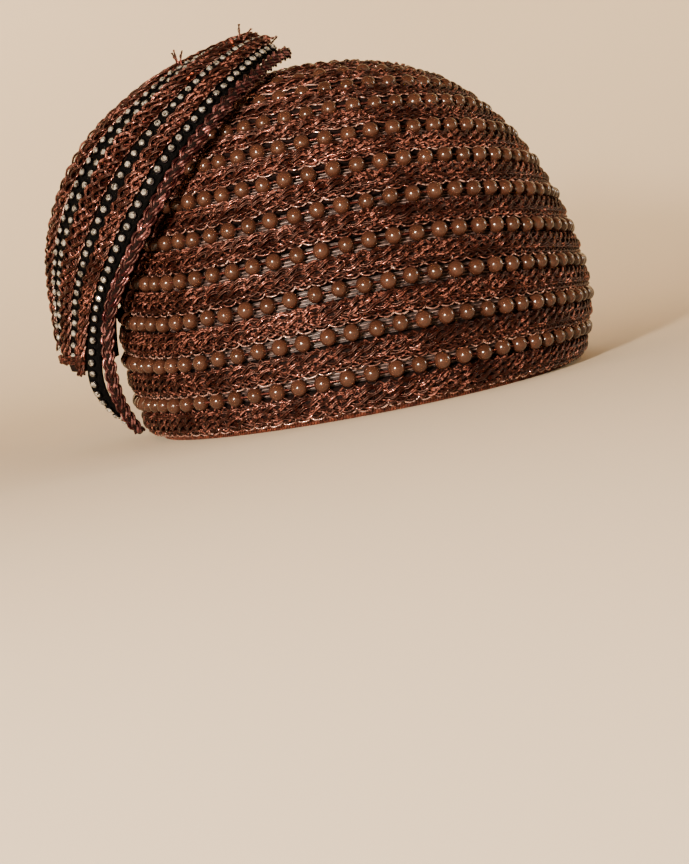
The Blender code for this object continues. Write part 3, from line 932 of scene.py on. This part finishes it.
bead_shape = ball("bead", BEAD_FULLNESS * BEAD_DIAMETER / 2)
bead_count = 0
for row in range(BEAD_ROWS):
    guide = ring_guide(bead_way(row), BEAD_SPACING)
    bead_count += len(guide.data.vertices)
    beads = bake(guide, PIECES_TREE, Piece=bead_shape, Lift=STRING_LIFT - bead_sink(row),
                 Size_Change=0.03, Jitter=0.25 * MM, Seed=row, Material=bead_acrylic)
    drop(guide)
    guide = ring_guide(bead_way(row), STRING_STEP)
    thread = bake(guide, PLAIT_TREE, **THREAD, Lift=STRING_LIFT, Radius=0.4 * MM, Sides=4,
                  Jitter=0.3 * MM, Seed=row, Material=dark_and_shade_yarn)
    drop(guide)
    finish_piece("bead_string_%02d" % (row + 1), "chocolate_bead", ["bead_row_%02d" % (row + 1)],
                 beads, thread)
drop(bead_shape)
print("There are", bead_count, "beads")

# %% [markdown]
# ## Braid between the beads
#
# Each band of braid is 8 mm wide. The real one is knitted in a single piece, in stitches too many to make one
# by one. So it is laid here as the eye reads it. A knitted backing closes the band from behind, and thin dark
# yarn crosses it; both are darker than the yarn over them, as painted shade for the depth of the braid. Over
# that lie two coils of copper yarn, along the middle and the upper half, and a small plait below them. A row
# of loops runs along the lower edge, and sloping yarns hide the backing along the upper one.

# %% Bands of braid
BRAID_PITCH = 10.4 * MM
SLOPE_PITCH = 7.8 * MM
LOOP_PITCH = 5.2 * MM
BRAID_STEP = 1.25 * MM
LOOP_STEP = 0.6 * MM
COIL = {"Strands": 2, "Yarns": 2, "Ply": 0.36 * MM, "Sides": 4, "Material": copper_yarn}
LOOPS = {"Strands": 1, "Yarns": 1, "Rise": 0.2 * MM, "Sides": 3}


def braid_edges(row):
    """The ways up the crown at which a band starts and ends, clear of the strings of beads."""
    clear = BEAD_DIAMETER / 2 + SEWN_GAP
    lower = bead_way(row - 1) + clear if row else 0.0
    return lower, bead_way(row) - clear


def backing_ring(row):
    """The knitted backing of a band: low at both edges, and raised along its middle."""
    lower, upper = braid_edges(row)
    section = (
        (lower - 0.4 * MM, 0.15), (lower + 0.4 * MM, 1.8), (lower + 2.2 * MM, 2.8),
        (upper - 2.2 * MM, 2.8), (upper - 0.4 * MM, 1.8), (upper + 0.4 * MM, 0.15),
    )
    columns = [off_net(way, RING_TURNS, rise * MM) for way, rise in section]
    # Its near-black cloth is painted shade for the gaps between the yarns
    return sweep("backing", np.stack(columns, axis=1).tolist(), backing_and_shade_knit, True)


def ring_plait(guide, length, pitch, **values):
    """A plait whose waves close on themselves round the ring."""
    values["Waves"] = float(max(3, round(length / pitch)))
    return bake(guide, PLAIT_TREE, **values)


def make_braid(row):
    """A band of braid round the crown, below the string of beads of the same number."""
    lower, upper = braid_edges(row)
    middle = (lower + upper) / 2
    length = ring_length(middle)
    guide = ring_guide(middle, BRAID_STEP)
    fine_guide = ring_guide(middle, LOOP_STEP)
    seed = 100 + row * 10
    half = (upper - lower) / 2
    # Thin yarn under the coils, dark partly as painted shade for the depth of the braid
    knit = ring_plait(guide, length, BRAID_PITCH, Strands=3, Yarns=1, Swing=3.9 * MM, Rise=0.3 * MM,
                      Lift=2.9 * MM, Radius=0.3 * MM, Sides=3, Jitter=0.8 * MM, Seed=seed + 3,
                      Material=dark_and_shade_yarn)
    upper_coil = ring_plait(guide, length, BRAID_PITCH, **COIL, Swing=1.25 * MM, Roll=0.9 * MM,
                            Place=2.3 * MM, Lift=3.3 * MM, Radius=0.33 * MM, Jitter=0.7 * MM, Seed=seed)
    middle_coil = ring_plait(guide, length, BRAID_PITCH, **COIL, Swing=1.25 * MM, Roll=0.9 * MM,
                             Place=-0.2 * MM, Lift=3.8 * MM, Radius=0.34 * MM, Jitter=0.7 * MM, Seed=seed + 4)
    lower_plait = ring_plait(guide, length, BRAID_PITCH, Strands=3, Yarns=1, Swing=1.0 * MM, Rise=-0.5 * MM,
                             Place=-2.5 * MM, Lift=3.4 * MM, Radius=0.36 * MM, Sides=4,
                             Jitter=0.4 * MM, Seed=seed + 1, Material=copper_yarn)
    loops = ring_plait(fine_guide, length, LOOP_PITCH, **LOOPS, Swing=0.9 * MM, Lean=1.1 * MM,
                       Place=-3.7 * MM, Lift=3.1 * MM, Radius=0.3 * MM, Jitter=0.4 * MM, Seed=seed + 2,
                       Material=pale_yarn)
    slope = ring_plait(guide, length, SLOPE_PITCH, Strands=2, Yarns=1, Swing=0.9 * MM, Rise=0.2 * MM,
                       Lean=1.2 * MM, Place=half - 0.5 * MM, Lift=2.2 * MM, Radius=0.42 * MM, Sides=3,
                       Jitter=0.5 * MM, Seed=seed + 5, Material=copper_yarn)
    drop(guide, fine_guide)
    return finish_piece("braid_band_%02d" % (row + 1), "metallic_braid", ["braid_row_%02d" % (row + 1)],
                        backing_ring(row), knit, slope, upper_coil, middle_coil, lower_plait, loops)


for row in range(BEAD_ROWS + 1):
    make_braid(row)

# %% [markdown]
# ## The top, and the ribbon in the rim
#
# The last turn of braid is coiled up into a small button that closes the top. Inside the rim runs a grosgrain
# ribbon, which has thick weft ribs from edge to edge. Each rib is one thin rounded bar, set along the ribbon.

# %% The coil on top
TIP_START = braid_edges(BEAD_ROWS)[1] + SEWN_GAP
SPIRAL_TURNS = 2.2
SPIRAL_POINTS = 120
BUTTON_SIDES = 24


def coil_guide():
    """A flat spiral over the pole, from the last braid's edge inwards."""
    turns = np.linspace(0.0, SPIRAL_TURNS * TURN, SPIRAL_POINTS)
    ways = TIP_START + 1.6 * MM + (CROWN_WAY - TIP_START - 2.6 * MM) * np.linspace(0.0, 1.0, SPIRAL_POINTS)
    rows = [crown_frame(way, turn) for way, turn in zip(ways, turns)]
    return add_guide("guide", [np.array([row[part] for row in rows]) for part in range(4)], False)


guide = coil_guide()
coil = bake(guide, PLAIT_TREE, Strands=3, Yarns=2, Waves=7.0, Swing=0.9 * MM, Rise=0.5 * MM, Lift=2.2 * MM,
            Ply=0.3 * MM, Ply_Turns=12.0, Radius=0.35 * MM, Sides=4, Jitter=0.3 * MM, Seed=90,
            Material=copper_yarn)
drop(guide)


def coil_backing():
    """The button under the spiral: rings of points, and one point each for its top and its underside."""
    section = ((TIP_START + 0.2 * MM, 0.35), (TIP_START + 0.8 * MM, 1.6), (CROWN_WAY - 3.0 * MM, 2.0))
    turns = np.arange(BUTTON_SIDES) * TURN / BUTTON_SIDES
    points = [point for way, rise in section for point in off_net(way, turns, rise * MM)]
    pole = crown_frame(CROWN_WAY, 0.0)[0]
    points += [pole + np.array([0.0, 0.0, 2.1 * MM]), pole + np.array([0.0, 0.0, 0.35 * MM])]
    top, underside = len(points) - 2, len(points) - 1
    last = (len(section) - 1) * BUTTON_SIDES
    steps = [(step, (step + 1) % BUTTON_SIDES) for step in range(BUTTON_SIDES)]
    faces = wall_faces(len(section), BUTTON_SIDES)
    faces += [(last + step, last + after, top) for step, after in steps]
    faces += [(after, step, underside) for step, after in steps]
    return add_mesh("coil_backing", points, faces, backing_and_shade_knit)


finish_piece("crown_coil", "metallic_braid", ["crown_tip_coil"], coil_backing(), coil)

# %% The ribbon and its ribs
RIBBON_OUT = -(NET_THICKNESS + SEWN_GAP)
RIBBON_THICKNESS = 1.0 * MM
RIB_SPACING = 1.1 * MM


def ribbon_band():
    """The ribbon's body: straight down below the net, and along the net inside it."""
    outer, inner = RIBBON_OUT, RIBBON_OUT - RIBBON_THICKNESS
    columns = []
    for way, level, rise in (
        (0.0, 0.0, outer), (0.0, 0.0, inner), (0.0, RIBBON_DROP, inner),
        (FIRST_BEAD_ROW, None, inner), (FIRST_BEAD_ROW, None, outer), (0.0, RIBBON_DROP, outer),
    ):
        column = off_net(way, RING_TURNS, rise)
        if level is not None:
            column[:, 2] = level
        columns.append(column)
    return sweep("ribbon", np.stack(columns, axis=1).tolist(), ribbon_rayon, True)


def rib_shape():
    """One rib: a thin bar, rounded on its outer side, that stands along Z here."""
    half, height, deep = 0.36 * MM, 3.2 * MM, 0.3 * MM
    section = [(-half, 0.0), (-0.6 * half, deep), (0.6 * half, deep), (half, 0.0)]
    points = [(x, y, z) for z in (0.0, height) for x, y in section]
    faces = [(0, 1, 5, 4), (1, 2, 6, 5), (2, 3, 7, 6), (3, 0, 4, 7), (3, 2, 1, 0), (4, 5, 6, 7)]
    return points, faces


def ribs_mesh():
    """The ribs round the outside of the ribbon, where it shows below the net."""
    count = round(ring_length(0.0) / RIB_SPACING)
    turns = np.arange(count) * TURN / count
    points, faces = [], []
    shape, sides = rib_shape()
    base, outward, up, along = crown_frame(0.0, turns)
    level_out = unit(outward * np.array([1.0, 1.0, 0.0]))
    foot = base + RIBBON_OUT * outward
    foot[:, 2] = 0.0
    for step in range(count):
        start = len(points)
        points += [
            foot[step] + x * along[step] + y * level_out[step] + np.array([0.0, 0.0, z]) for x, y, z in shape
        ]
        faces += [tuple(start + corner for corner in side) for side in sides]
    return add_mesh("ribs", points, faces, ribbon_rayon)


finish_piece("rim_ribbon", "grosgrain_ribbon", ["sweatband_ribbon"], ribbon_band(), ribs_mesh())

# %% [markdown]
# ## The wing
#
# The wing is a padded panel covered with lengths of braid and strings of stones. Its panel is a shell with a
# crowned outer face. A plait hems its lower end, and a dark binding covers its back edge, which is sewn down
# to the crown. A cloth simulation could puff the panel up, but the real one is stiff and has no folds, so its
# shape comes from the table of sections above. Over it lie, from the front edge backwards: a thick plaited
# cord, a string of stones on black tape, braid, more stones, braid, a double string of stones, and the rest
# of the braid.

# %% The wing's panel and tape
WING_BODY_FOOT = 26.0 * MM
BODY_START_CLIMB = (WING_BODY_FOOT - WING_FOOT) / (WING_TOP - WING_FOOT)
TAPE_FRONT = 7.2 * MM
TAPE_BACK = 11.4 * MM
TAPE_MIDDLE = (TAPE_FRONT + TAPE_BACK) / 2
HEM_CLIMB = 0.165
BINDING_SHARE = 0.945
BINDING_THREADS = (-1.9, 0.0, 1.9)


def wing_panel_mesh():
    """The panel as a body of cross sections: out along its face, and back along its underside."""
    shares = np.linspace(0.0, 1.0, 25)
    rings = []
    for climb in np.linspace(BODY_START_CLIMB, 1.0, 40):
        across = body_across(climb, shares)
        depth = np.maximum(-WING_PAD, WING_FLOOR - wing_stand(climb, across))
        outer = off_wing(climb, across, -0.1 * MM)
        inner = off_wing(climb, across, depth[:, None])
        rings.append(list(outer) + list(inner[::-1]))
    return sweep("panel", rings, wing_backing, False)


def wing_tape_mesh():
    """The tape behind the cord: flat below, and a little crowned on top."""
    section = (
        (TAPE_FRONT - 0.6 * MM, -0.9), (TAPE_BACK + 0.5 * MM, -0.9), (TAPE_BACK + 0.2 * MM, -0.1),
        (TAPE_MIDDLE, 0.0), (TAPE_FRONT - 0.2 * MM, -0.1),
    )
    rings = [
        [off_wing(climb, across, rise * MM) for across, rise in section]
        for climb in np.linspace(0.0, 1.0, 60)
    ]
    return sweep("tape", rings, tape_velvet, False)


def wing_hem():
    """A plait across the wing's lower end, over the ends of the braids."""
    shares = np.linspace(-0.02, 0.88, 60)
    points, out, forward, along = wing_frame(HEM_CLIMB, body_across(HEM_CLIMB, shares))
    guide = add_guide("guide", (points, out, along, -forward), False)
    made = bake(guide, PLAIT_TREE, Strands=3, Yarns=2, Waves=3.0, Swing=1.1 * MM, Rise=-0.6 * MM,
                Lift=2.0 * MM, Ply=0.4 * MM, Radius=0.4 * MM, Sides=5, Jitter=0.5 * MM, Seed=70,
                Material=dark_and_shade_yarn)
    drop(guide)
    return made


def wing_binding():
    """A dark plait down the wing's back edge, where the panel is sewn to the crown."""
    guide = wing_guide(at_share(BINDING_SHARE), HEM_CLIMB, 0.97, BRAID_STEP)
    made = [
        bake(guide, PLAIT_TREE, Strands=3, Yarns=1, Waves=9.0, Swing=1.3 * MM, Rise=-0.4 * MM,
             Place=place * MM, Lift=0.9 * MM, Radius=0.5 * MM, Sides=4, Jitter=0.4 * MM, Seed=71,
             Material=dark_and_shade_yarn)
        for place in BINDING_THREADS
    ]
    drop(guide)
    return made


wing_pad = finish_piece("wing_pad", "stiff_net", ["wing_panel"],
                        wing_panel_mesh(), wing_hem(), *wing_binding())
finish_piece("wing_tape", "black_tape", ["wing_stone_tape"], wing_tape_mesh())

# %% [markdown]
# The stones are the size of a rice grain: a cut glass crown in a pressed cup. One stone and one cup are built
# from rings of points, then the pieces tree sets them along their guides, four and a half millimetres
# apart.

# %% Stones in their cups
STONE_SPACING = 4.5 * MM
STRIP_LIFT = 0.3 * MM
STONE_PROFILE = ((1.0, 0.1), (1.25, 0.5), (1.1, 0.9), (0.6, 1.25))
CUP_PROFILE = ((1.2, -0.3), (1.65, 0.1), (1.65, 0.6), (1.35, 0.62))


def turned_shape(name, profile, sides, smooth=False):
    """A small turned mesh from (radius, height) pairs in millimetres. It is closed at both ends."""
    turns = [TURN * step / sides for step in range(sides)]
    points = [
        (radius * MM * math.cos(turn), radius * MM * math.sin(turn), height * MM)
        for radius, height in profile for turn in turns
    ]
    faces = wall_faces(len(profile), sides)
    faces += [tuple(range(sides))[::-1], tuple(range((len(profile) - 1) * sides, len(profile) * sides))]
    return add_mesh(name, points, faces, stone_glass, smooth)


stone_shape = turned_shape("stone", STONE_PROFILE, 8)
cup_shape = turned_shape("cup", CUP_PROFILE, 10, True)


def stone_row(across_of, first, last, seed, lift=0.0):
    """The stones and the cups of one string, from one climb to another."""
    guide = wing_guide(across_of, first, last, STONE_SPACING)
    common = {"Lift": SEWN_GAP + lift, "Jitter": 0.15 * MM, "Seed": seed}
    stones = bake(guide, PIECES_TREE, **common, Piece=stone_shape, Size_Change=0.05, Material=stone_glass)
    cups = bake(guide, PIECES_TREE, **common, Piece=cup_shape, Material=cup_metal)
    drop(guide)
    return [cups, stones]


def tape_strip(first_share, last_share, low, high):
    """A strip of black tape on the wing's body."""
    section = ((first_share, 0.05), (last_share, 0.05), (last_share, 0.55), (first_share, 0.55))
    rings = [
        [off_wing(climb, body_across(climb, share), rise * MM) for share, rise in section]
        for climb in np.linspace(low, high, 50)
    ]
    return sweep("strip", rings, tape_velvet, False)


finish_piece("wing_stones_1", "clear_stone", ["wing_stone_row_1"],
             *stone_row(at_width(TAPE_MIDDLE), 0.01, 0.99, 11))
finish_piece("wing_stones_2", "clear_stone", ["wing_stone_row_2"],
             *stone_row(at_share(0.121), 0.17, 0.99, 12, STRIP_LIFT), tape_strip(0.087, 0.155, 0.16, 1.0))
finish_piece("wing_stones_3", "clear_stone", ["wing_stone_row_3"],
             *stone_row(at_share(0.318), 0.18, 0.98, 13, STRIP_LIFT),
             *stone_row(at_share(0.398), 0.18, 0.98, 14, STRIP_LIFT),
             tape_strip(0.29, 0.425, 0.17, 0.99))
drop(stone_shape, cup_shape)

# %% [markdown]
# Six lengths of braid run along the wing. Each is made much as on the crown, of two coils over thin dark
# yarn, darker partly as painted shade, with a row of loops at each edge. It narrows where the wing does, as
# braid does when it is sewn closer.

# %% Braid along the wing
WING_BRAIDS = (
    # name, share at the middle of the braid, its width in shares, first and last climb
    ("wing_braid_1", 0.032, 0.100, 0.14, 1.00),
    ("wing_braid_2", 0.223, 0.140, 0.16, 0.99),
    ("wing_braid_3", 0.488, 0.125, 0.18, 0.97),
    ("wing_braid_4", 0.608, 0.115, 0.18, 0.96),
    ("wing_braid_5", 0.720, 0.110, 0.18, 0.95),
    ("wing_braid_6", 0.832, 0.110, 0.18, 0.94),
)
FULL_BODY = WING_WIDTH - WING_BODY_START
WING_BRAID_STEP = 1.2 * MM
EDGE_LOOPS = {**LOOPS, "Swing": 0.5 * MM, "Lift": 0.9 * MM, "Jitter": 0.3 * MM}


def narrowing(climb):
    """How much narrower the wing's body is here than at its widest."""
    return (wing_width(climb) - WING_BODY_START) / FULL_BODY


def wing_braid(name, share, width, low, high, seed):
    """A length of braid: it keeps to its share of the wing's width, so it narrows where the wing does."""
    guide = wing_guide(at_share(share), low, high, WING_BRAID_STEP, narrowing)
    length = len(guide.data.vertices) * WING_BRAID_STEP
    reach = width * FULL_BODY / 2
    waves = length / BRAID_PITCH
    # Thin yarn under the coils, dark partly as painted shade
    knit = bake(guide, PLAIT_TREE, Strands=4, Yarns=1, Waves=waves, Swing=reach - 0.3 * MM, Rise=0.25 * MM,
                Lift=0.9 * MM, Radius=0.33 * MM, Sides=3, Jitter=0.7 * MM, Seed=seed + 3, Material=dark_and_shade_yarn)
    coils = [
        bake(guide, PLAIT_TREE, **COIL, Waves=waves, Swing=0.42 * reach, Roll=0.8 * MM,
             Place=side * 0.46 * reach, Lift=1.7 * MM, Radius=0.35 * MM, Jitter=0.6 * MM,
             Seed=seed + 4 + side)
        for side in (-1, 1)
    ]
    edge = bake(guide, PLAIT_TREE, **EDGE_LOOPS, Waves=length / LOOP_PITCH, Lean=0.9 * MM,
                Place=reach - 0.2 * MM, Radius=0.3 * MM, Seed=seed + 1, Material=pale_yarn)
    back = bake(guide, PLAIT_TREE, **EDGE_LOOPS, Waves=length / LOOP_PITCH, Lean=-0.9 * MM,
                Place=0.2 * MM - reach, Radius=0.32 * MM, Seed=seed + 2, Material=dark_and_shade_yarn)
    drop(guide)
    return finish_piece(name + "_band", "metallic_braid", [name], *coils, knit, edge, back)


for number, (name, share, width, low, high) in enumerate(WING_BRAIDS):
    wing_braid(name, share, width, low, high, 300 + 10 * number)

# %% [markdown]
# The cord along the front edge is thicker: three strands of three yarns each, plaited round a soft core that
# keeps it round.

# %% The plaited cord
WING_CORD_PLACE = 3.1 * MM
WING_CORD_LIFT = 2.0 * MM
WING_CORD_PITCH = 14.4 * MM
WING_CORD_STEP = 1.0 * MM
guide = wing_guide(at_width(WING_CORD_PLACE), 0.0, 1.0, WING_CORD_STEP)
length = len(guide.data.vertices) * WING_CORD_STEP
cord = bake(guide, PLAIT_TREE, Strands=3, Yarns=3, Waves=length / WING_CORD_PITCH, Swing=1.7 * MM,
            Rise=0.9 * MM, Lift=WING_CORD_LIFT, Ply=0.62 * MM, Radius=0.52 * MM, Sides=5,
            Jitter=0.12 * MM, Seed=400, Material=cord_yarn)
# The core's near-black cloth is painted shade between the cord's strands
core = bake(guide, PLAIT_TREE, **THREAD, Lift=WING_CORD_LIFT, Radius=1.3 * MM, Sides=8, Seed=401,
            Material=backing_and_shade_knit)
drop(guide)
print("The cord is", round(length / MM), "mm long")

# %% [markdown]
# The hat is old, and a few yarns have worked loose on the wing. Each is a short guide that starts in the
# braid and curves away from it.

# %% Loose ends of yarn
LOOSE_ENDS = (
    # climb, way back from the front edge, then the reach out of the wing, along it and forward, all in mm
    (0.800, 36.0, 6.0, 1.5, -0.5, dark_and_shade_yarn),
    (0.800, 36.5, 5.5, -1.0, 0.8, copper_yarn),
    (0.805, 35.5, 4.5, 2.5, 1.0, dark_and_shade_yarn),
    (0.932, 20.5, 6.0, 2.5, -1.0, copper_yarn),
    (0.940, 19.5, 3.5, 5.0, 1.0, pale_yarn),
    (0.985, 12.5, 2.0, 5.0, 1.5, pale_yarn),
    (0.990, 10.5, 1.0, 5.5, -1.0, copper_yarn),
    (0.995, 6.0, 1.0, 4.0, 1.5, pale_yarn),
    (0.995, 4.5, 0.5, 4.5, 0.0, pale_yarn),
    (0.755, 23.0, 1.5, 2.0, 1.5, orange_thread),
    (0.905, 20.2, 1.5, 1.5, -1.5, orange_thread),
)


def loose_end(climb, back, out_reach, along_reach, forward_reach, surface, seed):
    """One loose yarn. It leaves the braid straight outwards, then bends more and more aside."""
    base, out, forward, along = wing_frame(climb, back * MM)
    part = np.linspace(0.0, 1.0, 8)[:, None]
    bent = part**2
    aside = along * along_reach * bent + forward * forward_reach * bent
    points = base + MM * (out * (1.2 + out_reach * part) + aside)
    rows = [np.repeat(way[None], len(part), axis=0) for way in (out, forward, along)]
    guide = add_guide("guide", (points, *rows), False)
    end = bake(guide, PLAIT_TREE, Strands=1, Yarns=2, Ply=0.28 * MM, Ply_Turns=1.5, Radius=0.26 * MM,
               Sides=4, Jitter=0.8 * MM, Seed=seed, Material=surface)
    drop(guide)
    return end


loose_ends = [loose_end(*row, 500 + number) for number, row in enumerate(LOOSE_ENDS)]
finish_piece("wing_cord", "plaited_cord", ["wing_edge_cord"], core, cord, *loose_ends)

# %% [markdown]
# ## Floor and light
#
# The hat stands on a pale floor that bends up into a round wall a long way off, so no edge shows from any
# side. A small lamp low in front gives most of the light, and the sharp point on each bead. A tall one at the
# right gives each bead its second, narrow highlight. Two large ones, in front and above, only soften the
# shadows, so they are kept out of reflections. The last two light the wall behind the hat.

# %% The floor and the lamps


def make_paper(name):
    """Matt backdrop paper: warm and pale, a little uneven."""
    made, tree, place = new_material(name)
    cloud = add_node(tree, "ShaderNodeTexNoise", {"Vector": place, "Scale": 1.2, "Detail": 0.0})
    shown = add_node(tree, "ShaderNodeMapRange", {"Value": cloud, "From Min": 0.3, "From Max": 0.7})
    colour = add_node(tree, MIX, {0: shown, 6: linear("DDCAAC"), 7: linear("E2D0B4")},
                      data_type="RGBA")
    shader = add_node(tree, PRINCIPLED, {"Base Color": colour.outputs[2], "Roughness": 0.95})
    return end_material(made, shader)


FLOOR_FLAT = 0.25
FLOOR_REACH = 2.0
FLOOR_RISE = 1.6
FLOOR_SIDES = 64
WALL_PROFILE = [(2.05, 2.0), (2.05, 3.0)]


def add_floor(surface):
    """A floor that is flat under the hat, then rises ever faster into a round wall."""
    profile = [
        (reach, FLOOR_RISE * ((reach - FLOOR_FLAT) / (FLOOR_REACH - FLOOR_FLAT)) ** 3)
        for reach in np.linspace(FLOOR_FLAT, FLOOR_REACH, 30)
    ] + WALL_PROFILE
    turns = [TURN * step / FLOOR_SIDES for step in range(FLOOR_SIDES)]
    steps = [(step, (step + 1) % FLOOR_SIDES) for step in range(FLOOR_SIDES)]
    points = [(0.0, 0.0, 0.0)]
    points += [
        (reach * math.cos(turn), reach * math.sin(turn), rise) for reach, rise in profile for turn in turns
    ]
    faces = [(0, 1 + step, 1 + after) for step, after in steps]
    for ring in range(len(profile) - 1):
        low, high = 1 + ring * FLOOR_SIDES, 1 + (ring + 1) * FLOOR_SIDES
        faces += [(low + step, high + step, high + after, low + after) for step, after in steps]
    mesh = bpy.data.meshes.new("floor")
    mesh.from_pydata(points, [], faces)
    mesh.materials.append(surface)
    mesh.polygons.foreach_set("use_smooth", [True] * len(mesh.polygons))
    made = add_object("floor", mesh)
    return made


def add_lamp(name, place, aim, size, watts, colour, glossy=True):
    """A soft lamp: its place, what it aims at, its width and height, and whether reflections show it."""
    data = bpy.data.lights.new(name, "AREA")
    data.shape = "RECTANGLE"
    data.size, data.size_y = size
    data.energy = watts
    data.color = linear(colour)[:3]
    lamp = add_object(name, data)
    lamp.visible_camera = False
    lamp.visible_glossy = glossy
    towards = unit(np.array(aim, float) - np.array(place, float))
    side = unit(np.cross(towards, np.array([0.0, 0.0, 1.0])))
    stand(lamp, side, np.cross(side, towards), -towards, place)


add_floor(make_paper("backdrop_paper"))
HAT_MIDDLE = (0.0, 0.0, 0.07)
add_lamp("key_front", (-0.20, -0.95, 0.17), HAT_MIDDLE, (0.07, 0.07), 26.5, "FFF0DE")
add_lamp("soft_front", (-0.7, -1.0, 0.9), HAT_MIDDLE, (0.9, 0.9), 3.0, "FFF4E6", glossy=False)
add_lamp("strip_right", (1.0, 0.15, 0.15), HAT_MIDDLE, (0.10, 0.5), 6.0, "FFF2E0")
add_lamp("soft_top", (0.1, 0.1, 1.5), HAT_MIDDLE, (1.2, 1.2), 4.0, "FFF8F0", glossy=False)
add_lamp("wall_left", (-0.8, 0.6, 1.2), (-0.6, 2.0, 0.6), (0.8, 0.8), 20.0, "FFEBD2")
add_lamp("wall_right", (0.8, 0.6, 1.2), (0.6, 2.0, 0.6), (0.8, 0.8), 12.0, "FFE8CA")

world = bpy.data.worlds.new("room")
world.use_nodes = True
sky = world.node_tree.nodes["Background"].inputs
sky["Color"].default_value = linear("F2E8DC")
sky["Strength"].default_value = 0.05
bpy.context.scene.world = world
